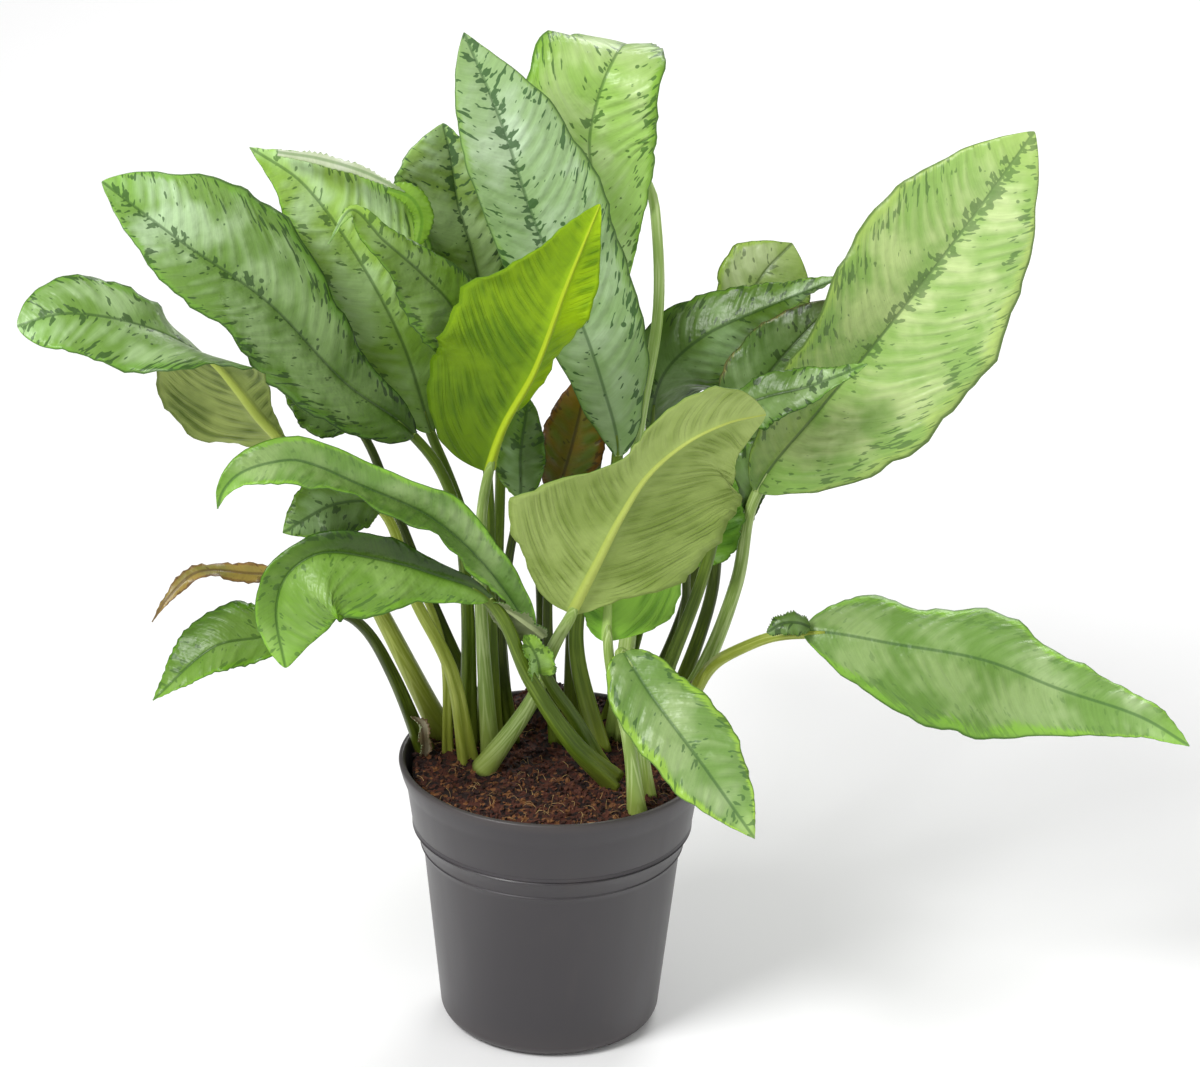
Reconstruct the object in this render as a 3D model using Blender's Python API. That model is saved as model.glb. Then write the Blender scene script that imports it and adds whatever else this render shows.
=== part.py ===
"""Potted chinese evergreen: a bushy plant of broad leaves in a grower's plastic pot of soil.

The origin is the centre of the pot's underside, on the ground. +X is to the right, +Y to the back
and +Z up. Every leaf is a stalk and a blade that follow one smooth spine, from its foot in the soil
over the neck, where the blade begins, to the tip. Leaf measures are in centimetres.
"""
import bmesh
import bpy
import numpy as np
from mathutils import Matrix, Vector

CM = 0.01
GAP = 0.0003                 # room left between pieces that touch

# The pot, in metres: radii and heights of its turned profile.
POT_HEIGHT = 0.195
LIP_RADIUS = 0.105
COLLAR_TOP = (0.0994, 0.175)
COLLAR_FOOT = (0.0946, 0.1452)
BODY_TOP = (0.0876, 0.127)
BODY_FOOT = (0.0751, 0.012)
EDGE_RADIUS = 0.012          # rounded edge round the underside
STAND_RADIUS = 0.0635        # flat ring that the pot stands on
WALL = 0.0020
FLOOR = 0.0060
INNER_CORNER = 0.006         # slope between the inner wall and the floor
LIP_ROUND = 0.0022           # radius of the rounded lip
POT_SEGMENTS = 56

# Drainage: shallow channels in the underside that run out to the edge, each with a hole.
CHANNELS = 4
CHANNEL_TURN = 0.51         # turn of the first channel, in radians
CHANNEL_WIDTH = 0.018
CHANNEL_DEPTH = 0.0040
CHANNEL_START = 0.040
HOLE_RADIUS = 0.0045
HOLE_CIRCLE = 0.052

# The soil: a slightly crowned plug.
SOIL_RADIUS = 0.0960
SOIL_EDGE_HEIGHT = 0.1850
SOIL_CROWN = 0.0035
SOIL_ROOM = 0.001            # room between the soil and the pot's inner wall
SOIL_SEGMENTS = 40

# Leaves, in centimetres.
BLADE_THICKNESS = 0.08
BLADE_COLUMNS = 2            # strips on each side of the midrib
BLADE_ROWS = 10
STALK_POINTS = 11
NECK_GAP = 0.12              # room between a stalk's end and its blade
NECK_TAPER = 0.65            # stalk's radius at the neck, over its radius low down
FOOT_FLARE = 0.25            # how much wider the sheath is at the soil
FOOT_ROOM = 0.05             # room between a stalk's end and the soil, along the stalk
MIN_HALF_WIDTH = (0.28, 0.12)    # at the neck and at the tip
SHARP_EDGE = np.radians(40)      # a steeper edge than this shades as a crease


def leaf(number, foot, stalk, rib, facing, left, right, lift=(15, 15), curl=(-15, -15),
         wave=(0.2, 3, 0), belly=0.78, blunt=0.7, thick=0.52):
    """One leaf's measures.

    foot: where it leaves the soil (x, y). stalk: points the stalk passes. rib: points on the
    midrib, neck to tip. facing: the way the upper skin looks, from neck to tip. left, right: half
    widths, seen from the neck with the upper skin up. lift: degrees that each half rises from the
    midrib, and curl: degrees that it bends on the way to its margin. wave: margin wave's height,
    count and phase. belly, blunt: where the outline is widest and how round its ends are.
    Any measure along the leaf may be a list from neck to tip. thick: stalk's radius.
    """
    return dict(number=number, foot=foot, stalk=stalk, rib=rib, facing=facing, left=left,
                right=right, lift=lift, curl=curl, wave=wave, belly=belly, blunt=blunt, thick=thick)


LEAVES = (
    leaf("01", foot=(-7.5, 3.8), stalk=((-11.5, 2.5, 28), (-14.5, 1, 35)),
         rib=((-17.7, -2, 42.6), (-19.6, -4.2, 46), (-21, -6.2, 49), (-22.2, -7.3, 51),
              (-23.9, -8, 52.4), (-25.7, -8.7, 53.6), (-28.5, -9.5, 54.7), (-31.6, -10, 55.1),
              (-34.3, -10.5, 54.4)),
         facing=((0, 0.9, 0.3), (0, 0.9, 0.3), (0.1, 0.7, 0.5), (0.1, 0.1, 0.9),
                 (-0.1, -0.4, 0.8), (-0.2, -0.6, 0.7), (-0.4, -0.6, 0.5)),
         left=(1.4, 1.4, 2.6, 4.6, 4.6, 4.2, 7.5), right=(5.4, 6.7, 6.5, 4, 2.2, 4.3, 5.5),
         lift=(10, 10), wave=(0.4, 3, 0.2), belly=1, blunt=0.55, thick=0.65),
    leaf("02", foot=(-5.9, 2.2), stalk=((-6, 1.5, 30.5), (-7, 1, 38)),
         rib=((-9.5, 0, 43), (-14, -1, 47), (-19, -2, 53), (-24.5, -3, 57.5), (-29.5, -3, 61.5)),
         facing=((0.4, -0.8, 0.5), (0.1, -0.8, 0.6), (-0.1, -0.8, 0.6)),
         left=(4.8, 5, 5.1, 4.7, 4.6, 4.2), right=(2.4, 2.6, 3.2, 5.8, 6.8, 6.8),
         lift=((38, 38, 35, 35), (30, 20, 5, 5)), wave=(0.3, 3, 0.1), belly=0.88, blunt=0.62),
    leaf("03", foot=(-4.7, 3.5), stalk=((-5, 4, 29), (-6.5, 4.5, 35.5)),
         rib=((-8.5, 4, 41.5), (-10.5, 4, 48), (-13.5, 4, 54), (-17, 4, 59), (-20.5, 4, 61.5)),
         facing=((0.3, -0.9, 0.4), (0.3, -0.9, 0.4), (0.3, -0.7, 0.5)),
         left=(3, 3.4, 3.7, 3.5, 4.2, 3.2), right=(2.4, 2.6, 4.3, 6.3, 4.6, 3),
         lift=(8, (10, 20, 15)), curl=(-10, (-20, -50, -40))),
    leaf("04", foot=(-4, 1.9), stalk=((-4.4, 0.8, 31), (-4.5, 0.5, 38)),
         rib=((-5.5, 0, 48), (-7, -1, 52.5), (-9, -1.5, 55), (-11.5, -2, 57.5),
              (-13.5, -2, 59.5), (-15, -3, 57.5)),
         facing=((0.3, -0.7, 0.5), (0, -0.6, 0.8), (-0.3, -0.5, 0.8)),
         left=(2.6, 3.4, 3.4, 1.9, 1.3, 0.8), right=(2.2, 2.8, 1.9, 1.4, 0.8, 0.7),
         lift=(10, 20), thick=0.42),
    leaf("05", foot=(-3.3, 4.7), stalk=((-4, 6, 29), (-4, 7.5, 39)),
         rib=((-5, 8.5, 48), (-6, 9, 52.5), (-7, 9, 56), (-7.5, 8.5, 59.5), (-8, 8, 62)),
         facing=((0.2, -0.9, 0.3), (0.1, -0.9, 0.4)), left=(2.4, 3.2, 3.6, 5.4, 7.4), right=2.4,
         lift=(20, 35), wave=(0.3, 3.5, 0), belly=0.95, blunt=0.55, thick=0.45),
    leaf("06", foot=(3.2, 2), stalk=((1.4, 3.6, 26.5), (2.6, 4, 34)),
         rib=((4, 4, 40), (3, 3.5, 45), (1, 3, 51), (-1.5, 2.5, 56.5), (-4, 2.5, 64), (-6.5, 3, 70)),
         facing=((0.1, -1, 0.2), (0.2, -1, 0.2), (0.3, -0.9, 0.3)),
         left=(2.8, 2.6, 2.8, 3.2, 4.8, 6.2), right=(3.8, 4.3, 4.3, 5.4, 5.6, 4.2), lift=(12, 12),
         wave=(0.25, 3.5, 0.3), belly=0.85, thick=0.6),
    leaf("07", foot=(1.2, 5.6), stalk=((1.3, 7, 28), (2.6, 8, 38.5)),
         rib=((3.9, 9, 50), (2.9, 9, 54), (2, 9, 57.8), (1.7, 9, 60.7), (2.2, 9, 63.5),
              (2.8, 9.3, 65.3), (3.5, 11, 66.2), (4, 14, 65.7), (4.6, 17, 64.4)),
         facing=((0.1, -1, 0.1), (0.1, -1, 0.1), (0.1, -1, 0.2), (0, -0.9, 0.3), (0, -0.2, 0.9),
                 (0.1, 0.3, 0.9)),
         left=(2.8, 2.2, 2.6, 3.2, 5.2, 6, 5, 4), right=(2.4, 3.4, 4.2, 4.5, 4.3, 4.2, 4, 3),
         lift=(12, 12), wave=(0.2, 4, 0.6), belly=0.9),
    leaf("08", foot=(-4.3, 0.6), stalk=((-5, -1, 31.5), (-5, -1, 37.5)),
         rib=((-4.5, -1.5, 41), (-3.5, -2, 44.5), (-1.5, -3, 49), (0.5, -4, 55.5), (2.5, -4, 61)),
         facing=((0.2, 0.9, 0.3), (-0.2, 0.9, 0.3)),
         left=(0.6, 0.6, 0.8, 1.2, 2.1, 2.6, 3, 2.6, 1.9),
         right=(6.4, 6.2, 6.4, 6.7, 6.9, 7.4, 5.8, 4.2, 3.9),
         lift=((60, 60, 50, 22, 10, 10), 10), wave=(0.3, 3, 0.4), belly=0.7, blunt=0.6),
    leaf("09", foot=(6.9, 4.2), stalk=((10, 4, 24), (12.2, 3.5, 31)),
         rib=((13.3, 2, 38.5), (17.3, 1, 45), (20.4, 0, 49.7), (25.8, -1, 58.2), (30.3, -1, 65.4)),
         facing=((-0.2, -0.8, 0.5), (0, -0.9, 0.4), (0.1, -0.9, 0.4)),
         left=(3.8, 4.6, 4.4, 6, 7, 6), right=(5.8, 7.2, 6.9, 6.9, 6.3, 5.2),
         lift=((50, 50, 35, 15, 10), 8), wave=(0.3, 3.5, 0.2), belly=0.92, blunt=0.64, thick=0.6),
    leaf("10", foot=(5.3, 1.6), stalk=((8, 0.5, 27), (10, -0.5, 34), (11, -1, 40.5)),
         rib=((11, -2, 45.5), (13, -2.5, 47), (16.5, -3.5, 48.5), (20, -4.5, 50.5)),
         facing=((0, -0.7, 0.7),), left=(1.4, 1.6, 1.6, 1.2, 1), right=(1.6, 2.4, 1.5, 1.1, 1),
         lift=(10, 10)),
    leaf("11", foot=(3.6, 5.8), stalk=((6, 6, 28.5), (6.5, 7, 37)),
         rib=((6.2, 7, 40.9), (7, 7, 44.8), (9.6, 7, 47.6), (13.6, 7, 49.7), (18.6, 7, 52)),
         facing=((0.1, -0.6, 0.8),), left=(2.4, 2.9, 3.2, 2.5, 2.2, 2), right=(5.5, 5.5, 4.2, 2.4, 1.2, 1),
         lift=(10, (-35, -40, -60, -60))),
    leaf("12", foot=(-4.8, -1.4), stalk=((-1.5, -1.6, 24.3), (-0.3, -2.8, 28.4)),
         rib=((1.1, -5, 32.5), (2.8, -7, 37.2), (4.3, -8.5, 41.2), (6, -9.5, 44.6), (8.4, -10, 47.1),
              (11, -9.5, 48.3), (13.4, -8.5, 48.5)),
         facing=((0.3, 0.6, 0.7), (0, 0.9, 0.5), (-0.3, 0.9, 0.3)),
         left=(0.9, 3, 6.1, 6.5, 7.3, 8.4, 9.5, 10, 8), right=(3.9, 4.6, 6.1, 7.4, 5, 2.8, 4.3, 7, 5),
         lift=(8, 8), wave=(0.25, 2.5, 0.2), belly=0.62, blunt=0.5, thick=0.6),
    leaf("13", foot=(3.4, -1), stalk=((1.5, -2.8, 23.5), (-0.5, -4.2, 27.5)),
         rib=((-1.5, -4.2, 30.5), (-4.6, -4.8, 35.7), (-8.2, -6, 39.7), (-12.6, -7.5, 42.5),
              (-16.5, -8.5, 44.6), (-18.6, -9, 44.6), (-20.4, -9.4, 44), (-21.4, -9.8, 43),
              (-21.8, -10, 41.8)),
         facing=((0.6, -0.5, 0.4), (0.2, -0.7, 0.7), (0, -0.5, 0.8)),
         left=(1.6, 2.4, 2.8, 2.2, 1.9, 1.4, 3, 3.6, 1.6), right=(2.4, 1.9, 1.8, 2.2, 1.8, 1.8, 2.3, 3, 2.4),
         lift=((45, 45, 45, 30, 20, 15), (55, 55, 55, 35, 30)), wave=(0.2, 4, 0.3)),
    leaf("14", foot=(4.3, -2.8), stalk=((1.5, -4.6, 22.5), (-1.5, -6, 28)),
         rib=((-4.2, -6.5, 34.1), (-8, -7.6, 36.4), (-12, -9, 38.1), (-15.2, -9.8, 38.7),
              (-17.3, -10.4, 37.4), (-18, -10.9, 35), (-17.4, -11.2, 31.1)),
         facing=((-0.1, -0.5, 0.8), (-0.2, -0.5, 0.8), (-0.5, -0.6, 0.6)),
         left=(3, 2.8, 2.8, 4.2, 4.5, 4.9, 5.6, 5.6, 2.8),
         right=(1.2, 1.2, 1.3, 1.8, 1.6, 1.3, 1.6, 2.1, 1.8),
         lift=(0, (70, 70, 70, 60, 45)), curl=(-30, -30), wave=(0.25, 3.5, 0.7), belly=1.1, blunt=0.5,
         thick=0.65),
    leaf("15", foot=(-8.8, 2.1), stalk=((-11, 0, 25.5), (-13, -2, 30)),
         rib=((-15.5, -4, 32), (-19, -5, 30.5), (-22.5, -6, 30), (-26.5, -7, 26.5)),
         facing=((-0.1, -0.5, 0.8),), left=(1.8, 2, 2.1, 2.6, 1.8, 1.4), right=(2.7, 2.5, 2.8, 2.8, 2.3, 2),
         thick=0.5),
    leaf("16", foot=(-7.2, 1.6), stalk=((-7.6, 1, 27), (-9.8, 0.2, 32.4)),
         rib=((-14.5, -3, 34), (-20, -4, 34.5), (-23.5, -5, 35), (-25.5, -6, 33.5),
              (-26.5, -6.5, 32)),
         facing=((0, -0.5, 0.8),), left=0.7, right=0.7, lift=(10, 10), thick=0.32),
    leaf("17", foot=(-5.8, 0.2), stalk=((-7, -0.5, 26), (-9.5, -1.5, 32)),
         rib=((-11.5, -1, 38), (-14.5, -2.5, 39), (-18, -4, 37.5)),
         facing=((0.2, -0.6, 0.6),), left=2.2, right=2.4, lift=(10, 10)),
    leaf("18", foot=(-4.8, 6.4), stalk=((-8.5, 6, 28), (-11.5, 5.5, 36.5)),
         rib=((-13.5, 5, 41.5), (-16, 5, 43.5), (-18.5, 5, 45.5)),
         facing=((0.2, -0.8, 0.5),), left=2.5, right=2.5, lift=(10, 10), thick=0.45),
    leaf("19", foot=(5.8, -6.8), stalk=((5, -7, 24.5), (4, -6, 28)),
         rib=((3.5, -5, 30.5), (3.5, -4, 33), (3, -3, 36), (3.5, -2, 38.5)),
         facing=((-0.2, 0.9, 0.3),), left=5.2, right=2, lift=(10, 10)),
    leaf("20", foot=(6.4, -4.4), stalk=((5.8, -4.6, 23.5), (5.6, -5.2, 27.8)),
         rib=((4.6, -7.6, 31), (6.4, -9.8, 29), (9.9, -12.6, 25.3), (13.4, -14, 20.7)),
         facing=((0, -0.8, 0.6),), left=(2.2, 2.7, 2.8, 3.2, 3.2, 3.2, 2.8),
         right=(3.4, 3.2, 2.9, 2.7, 3, 2.6, 2), lift=(10, 10), wave=(0.25, 4, 0.4)),
    leaf("21", foot=(7.9, 1.6), stalk=((10, 1, 25), (12, -1, 28)),
         rib=((16.5, -3, 30.6), (23, -4.2, 30.3), (28.6, -5.1, 29.7), (33.6, -6, 28.1),
              (38.9, -6.8, 26.6), (42.3, -7, 24.6)),
         facing=((0, -0.5, 0.9),), left=(4.4, 5.4, 3.4, 4, 4.1, 3.2, 3, 3.6, 4),
         right=(3.2, 4.1, 4.8, 5.3, 5.4, 4.4, 3.3, 3.2, 2.4), lift=(5, (-30, -40, -35)),
         wave=(0.2, 4, 0.1)),
    leaf("22", foot=(-2.8, 2.9), stalk=((-3.7, 2.5, 27), (-3.2, 2.5, 33)),
         rib=((-2.5, 2.5, 37.5), (-2.5, 2, 41), (-2, 2, 45)),
         facing=((0, -0.9, 0.4),), left=1.7, right=1.7, lift=(10, 10), thick=0.42),
    leaf("23", foot=(0.2, 2.6), stalk=((-0.5, 3.5, 26.5), (-0.5, 4.5, 32)),
         rib=((0, 5, 36.5), (1, 5.5, 40.5), (2, 6, 45.5)),
         facing=((0, -0.9, 0.4),), left=2.2, right=2.2, lift=(10, 10), thick=0.42),
    leaf("24", foot=(6.2, 2.7), stalk=((8.4, 2.2, 27.5), (8.8, 2, 30.5)),
         rib=((9, 2, 33), (10.3, 2.4, 36), (11.4, 3, 39.8)),
         facing=((0.5, 0.7, 0.3),), left=2.4, right=1.8, lift=(10, 10), thick=0.42),
    leaf("25", foot=(4.2, 3.4), stalk=((5.4, 5, 31.9), (5.3, 5.6, 40.5), (6.5, 7, 49.2), (6.2, 9.8, 55.2)),
         rib=((5.5, 11.5, 57), (3, 15, 58.5), (-0.5, 20, 56), (-4, 27, 50)),
         facing=((-0.3, -0.5, 0.8), (0, 0.4, 0.9)), left=3.5, right=3.5, lift=(10, 10), belly=1),
    leaf("26", foot=(5.6, 6.4), stalk=((9, 9, 27), (10, 10, 36.5)),
         rib=((10.5, 11, 41.5), (12, 11, 47), (13.5, 11, 50.5), (15.5, 12, 52.5)),
         facing=((0, -1, 0.4),), left=(1.6, 1.4, 1.6, 2.5, 4.6, 3.4), right=(2.4, 3.4, 3.9, 4.8, 6.4, 10),
         lift=(10, 10)),
    leaf("27", foot=(7.4, 5.4), stalk=((10.5, 6, 28.5), (11, 5, 36.5)),
         rib=((12, 5, 41), (13.5, 5, 45), (16, 5, 48.5), (18.5, 5.5, 51)),
         facing=((0, -0.8, 0.6),), left=2.8, right=3, lift=(10, 10)),
    leaf("28", foot=(-1.0, 6.8), stalk=((-1, 11, 26), (-2, 14, 34)),
         rib=((-3, 17, 38.5), (-4.5, 21, 42), (-6, 27, 42), (-7, 34, 37)),
         facing=((0, -0.4, 0.9), (0, 0.5, 0.8)), left=4.5, right=4.5, lift=(10, 10)),
)


# ---------------------------------------------------------------- leaf surface

def along(measure, t):
    """A measure, or a list of evenly spaced ones, read at the places t from 0 to 1."""
    values = np.atleast_1d(np.asarray(measure, float))
    return np.interp(t, np.linspace(0, 1, len(values)), values)


def unit(vectors):
    return vectors / np.linalg.norm(vectors, axis=-1, keepdims=True)


def chord_places(points):
    steps = np.linalg.norm(np.diff(points, axis=0), axis=1)
    places = np.concatenate(([0], np.cumsum(steps)))
    return places / places[-1]


def smooth_route(points, t):
    """Points on one smooth curve through the given points, at the places t from 0 to 1."""
    places = chord_places(points)
    slopes = np.gradient(points, axis=0) / np.gradient(places)[:, None]
    t = np.clip(t, 0, 1)
    k = np.clip(np.searchsorted(places, t, side="right") - 1, 0, len(points) - 2)
    span = (places[k + 1] - places[k])[:, None]
    s = (t - places[k])[:, None] / span
    start = (2 * s ** 3 - 3 * s ** 2 + 1) * points[k] + (s ** 3 - 2 * s ** 2 + s) * span * slopes[k]
    end = (3 * s ** 2 - 2 * s ** 3) * points[k + 1] + (s ** 3 - s ** 2) * span * slopes[k + 1]
    return start + end


def heading(points, t):
    step = 0.005
    ahead = smooth_route(points, np.clip(t + step, 0, 1))
    return unit(ahead - smooth_route(points, np.clip(t - step, 0, 1)))


def soil_height(x, y):
    """Height of the soil's top at a place, in metres."""
    reach = (x * x + y * y) / SOIL_RADIUS ** 2
    return SOIL_EDGE_HEIGHT + SOIL_CROWN * (1 - reach)


def spine(measures):
    """All points of a leaf's spine, in centimetres, and the place of its neck from 0 to 1."""
    x, y = measures["foot"]
    ground = soil_height(x * CM, y * CM) / CM
    points = np.array([(x, y, ground), *measures["stalk"], *measures["rib"]], float)
    neck = chord_places(points)[len(measures["stalk"]) + 1]
    return points, neck


def blade_surface(measures, across, t):
    """Points in centimetres at the places t along a blade; across runs from -1, left, to 1."""
    points, neck = spine(measures)
    u = neck + (1 - neck) * t
    middle = smooth_route(points, u)
    forward = heading(points, u)
    facing = np.array(measures["facing"], float)
    up = np.stack([along(facing[:, axis], t) for axis in range(3)], axis=1)
    up = unit(up - (up * forward).sum(axis=1, keepdims=True) * forward)
    outward = np.cross(forward, up) * (1 if across > 0 else -1)
    half = 0 if across < 0 else 1
    reach = abs(across)
    outline = np.sin(np.pi * t ** measures["belly"]) ** measures["blunt"]
    width = along(measures[("left", "right")[half]], t) * outline
    width = np.maximum(width, np.where(t < 0.5, *MIN_HALF_WIDTH))
    lift = np.radians(along(measures["lift"][half], t))
    bend = np.radians(along(measures["curl"][half], t)) * reach
    chord = width * reach * np.sinc(bend / (2 * np.pi))
    height, count, phase = measures["wave"]
    ripple = height * reach ** 2 * np.sqrt(np.sin(np.pi * t).clip(0))
    ripple = ripple * np.sin(2 * np.pi * (count * t + phase + 0.37 * (1 - half)))
    out = chord * np.cos(lift + bend / 2) - ripple * np.sin(lift + bend)
    rise = chord * np.sin(lift + bend / 2) + ripple * np.cos(lift + bend)
    return middle + outward * out[:, None] + up * rise[:, None]


# ---------------------------------------------------------------- materials and objects

def paint(name, colour, roughness):
    material = bpy.data.materials.new(name)
    material.use_nodes = True
    shader = material.node_tree.nodes["Principled BSDF"]
    shader.inputs["Base Color"].default_value = (*colour, 1)
    shader.inputs["Roughness"].default_value = roughness
    shader.inputs["Metallic"].default_value = 0
    return material


def add(name, data, material):
    thing = bpy.data.objects.new(name, data)
    bpy.context.scene.collection.objects.link(thing)
    data.materials.append(material)
    return thing


def add_mesh(name, shape, material):
    mesh = bpy.data.meshes.new(name)
    shape.to_mesh(mesh)
    shape.free()
    mesh.shade_smooth()
    mesh.set_sharp_from_angle(angle=SHARP_EDGE)
    return add(name, mesh, material)


def turned(profile, segments):
    """A closed solid turned about Z from a profile that starts and ends on the axis."""
    shape = bmesh.new()
    corners = [shape.verts.new((radius, 0, height)) for radius, height in profile]
    edges = [shape.edges.new(pair) for pair in zip(corners, corners[1:])]
    bmesh.ops.spin(shape, geom=corners + edges, cent=(0, 0, 0), axis=(0, 0, 1), angle=2 * np.pi,
                   steps=segments, use_merge=True)
    bmesh.ops.remove_doubles(shape, verts=shape.verts, dist=0.00001)
    bmesh.ops.recalc_face_normals(shape, faces=shape.faces)
    return shape


# ---------------------------------------------------------------- pot and soil

def arc(centre, radius, start, end, steps):
    angles = np.radians(np.linspace(start, end, steps + 1))
    return [(centre[0] + radius * np.cos(a), centre[1] + radius * np.sin(a)) for a in angles]


def inner_side(point):
    return (point[0] - WALL, point[1])


def pot_profile():
    """Outside from the underside's centre up to the lip, then down the inside to the floor."""
    edge = arc((STAND_RADIUS, EDGE_RADIUS), EDGE_RADIUS, -90, -12, 4)
    step_ring = [(0.0896, 0.1315), (0.0903, 0.1325), (0.0901, 0.1340)]
    shoulder = (0.0916, 0.1385)
    collar_ring = [(0.0947, 0.1452), (0.0956, 0.1464), (0.0953, 0.1480)]
    flare = [COLLAR_TOP, (0.1008, 0.1790), (0.1030, 0.1850), (0.1045, 0.1905)]
    lip = arc((LIP_RADIUS - LIP_ROUND, POT_HEIGHT - LIP_ROUND), LIP_ROUND, 0, 180, 6)
    mouth = [(0.1000, 0.1870), (0.0984, 0.1790)]
    inside = [inner_side(COLLAR_TOP), inner_side(COLLAR_FOOT), inner_side(BODY_TOP),
              inner_side(BODY_FOOT), (BODY_FOOT[0] - INNER_CORNER, FLOOR), (0, FLOOR)]
    outside = [(0, 0), *edge, BODY_TOP, *step_ring, shoulder, *collar_ring, *flare]
    return outside + lip + mouth + inside


def drain_cutter(angle, plain):
    """One channel and its hole, as a solid to cut away, turned to its angle about the axis."""
    shape = bmesh.new()
    length = LIP_RADIUS - CHANNEL_START
    place = Matrix.Translation((CHANNEL_START + length / 2, 0, 0))
    size = Matrix.Diagonal((length, CHANNEL_WIDTH, 2 * CHANNEL_DEPTH, 1))
    bmesh.ops.create_cube(shape, size=1, matrix=place @ size)
    bmesh.ops.rotate(shape, verts=shape.verts, matrix=Matrix.Rotation(angle, 3, "Z"))
    return as_cutter("channel", shape, plain)


def hole_cutter(angle, plain):
    shape = bmesh.new()
    place = Matrix.Rotation(angle, 4, "Z") @ Matrix.Translation((HOLE_CIRCLE, 0, FLOOR / 2))
    bmesh.ops.create_cone(shape, cap_ends=True, segments=16, radius1=HOLE_RADIUS,
                          radius2=HOLE_RADIUS, depth=2 * FLOOR, matrix=place)
    return as_cutter("hole", shape, plain)


def as_cutter(name, shape, material):
    cutter = add_mesh("cutter_" + name, shape, material)
    cutter.hide_render = True
    cutter.display_type = "WIRE"
    return cutter


def cut(thing, cutter):
    modifier = thing.modifiers.new(cutter.name, "BOOLEAN")
    modifier.operation = "DIFFERENCE"
    modifier.solver = "EXACT"
    modifier.object = cutter


def make_pot():
    plastic = paint("pot_plastic", (0.085, 0.080, 0.086), 0.5)
    pot = add_mesh("pot", turned(pot_profile(), POT_SEGMENTS), plastic)
    for number in range(CHANNELS):
        angle = 2 * np.pi * number / CHANNELS + CHANNEL_TURN
        cut(pot, drain_cutter(angle, plastic))
        cut(pot, hole_cutter(angle, plastic))


def make_soil():
    floor = FLOOR + GAP
    foot_radius = BODY_FOOT[0] - INNER_CORNER - 2 * SOIL_ROOM
    side = [(radius - WALL - SOIL_ROOM, height) for radius, height in (BODY_FOOT, BODY_TOP, COLLAR_FOOT)]
    radii = SOIL_RADIUS * np.array((1, 0.75, 0.5, 0.25, 0))
    crown = [(radius, soil_height(radius, 0)) for radius in radii]
    profile = [(0, floor), (foot_radius, floor), *side, *crown]
    dirt = paint("soil", (0.060, 0.026, 0.017), 0.95)
    add_mesh("soil", turned(profile, SOIL_SEGMENTS), dirt)


# ---------------------------------------------------------------- leaves

def make_stalk(measures, skin):
    """A tapered tube from just above the soil to just short of the neck."""
    points, neck = spine(measures)
    length = np.linalg.norm(np.diff(points, axis=0), axis=1).sum()
    thick = measures["thick"]
    lean = heading(points, np.array([0.0]))[0]
    foot_radius = thick * (1 + FOOT_FLARE)
    clearance = foot_radius * np.sqrt(1 - lean[2] ** 2) + GAP / CM
    first = (clearance / lean[2] + FOOT_ROOM) / length
    last = neck - NECK_GAP / length
    places = np.linspace(first, last, STALK_POINTS)
    grown = (places - first) / (last - first)
    radii = thick * (1 - (1 - NECK_TAPER) * grown + FOOT_FLARE * (1 - grown) ** 6)
    line = bpy.data.curves.new("stalk_" + measures["number"], "CURVE")
    line.dimensions = "3D"
    line.bevel_depth = CM
    line.bevel_resolution = 1
    line.use_fill_caps = True
    run = line.splines.new("POLY")
    run.points.add(STALK_POINTS - 1)
    for point, place, radius in zip(run.points, smooth_route(points, places), radii):
        point.co = (*(place * CM), 1)
        point.radius = radius
    add("stalk_" + measures["number"], line, skin)


def make_blade(measures, skin):
    """A thin closed shell: a grid laid on the blade's surface and thickened."""
    shape = bmesh.new()
    bmesh.ops.create_grid(shape, x_segments=2 * BLADE_COLUMNS, y_segments=BLADE_ROWS, size=1)
    t = np.linspace(0, 1, BLADE_ROWS + 1)
    columns = {}
    for vert in shape.verts:
        across = round(vert.co.x * BLADE_COLUMNS) / BLADE_COLUMNS
        if across not in columns:
            columns[across] = blade_surface(measures, across, t)
        row = round((vert.co.y + 1) / 2 * BLADE_ROWS)
        vert.co = Vector(columns[across][row] * CM)
    blade = add_mesh("blade_" + measures["number"], shape, skin)
    shell = blade.modifiers.new("thickness", "SOLIDIFY")
    shell.thickness = BLADE_THICKNESS * CM
    shell.offset = 0


def main():
    for thing in list(bpy.data.objects):
        bpy.data.objects.remove(thing)
    make_pot()
    make_soil()
    leaf_skin = paint("leaf_green", (0.16, 0.40, 0.10), 0.42)
    stalk_skin = paint("stalk_green", (0.18, 0.32, 0.08), 0.45)
    for measures in LEAVES:
        make_stalk(measures, stalk_skin)
        make_blade(measures, leaf_skin)


main()
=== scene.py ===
"""Looks of the potted chinese evergreen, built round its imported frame.

Every leaf is a stalk and a blade that follow one smooth spine, from its foot in the soil over the
neck, where the blade begins, to the tip. Leaf measures are in centimetres; everything else is in
metres. The origin is the centre of the pot's underside, +X is right, +Y back and +Z up.
"""
import math

import bmesh
import bpy
import numpy as np
from mathutils import Matrix, Vector


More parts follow.
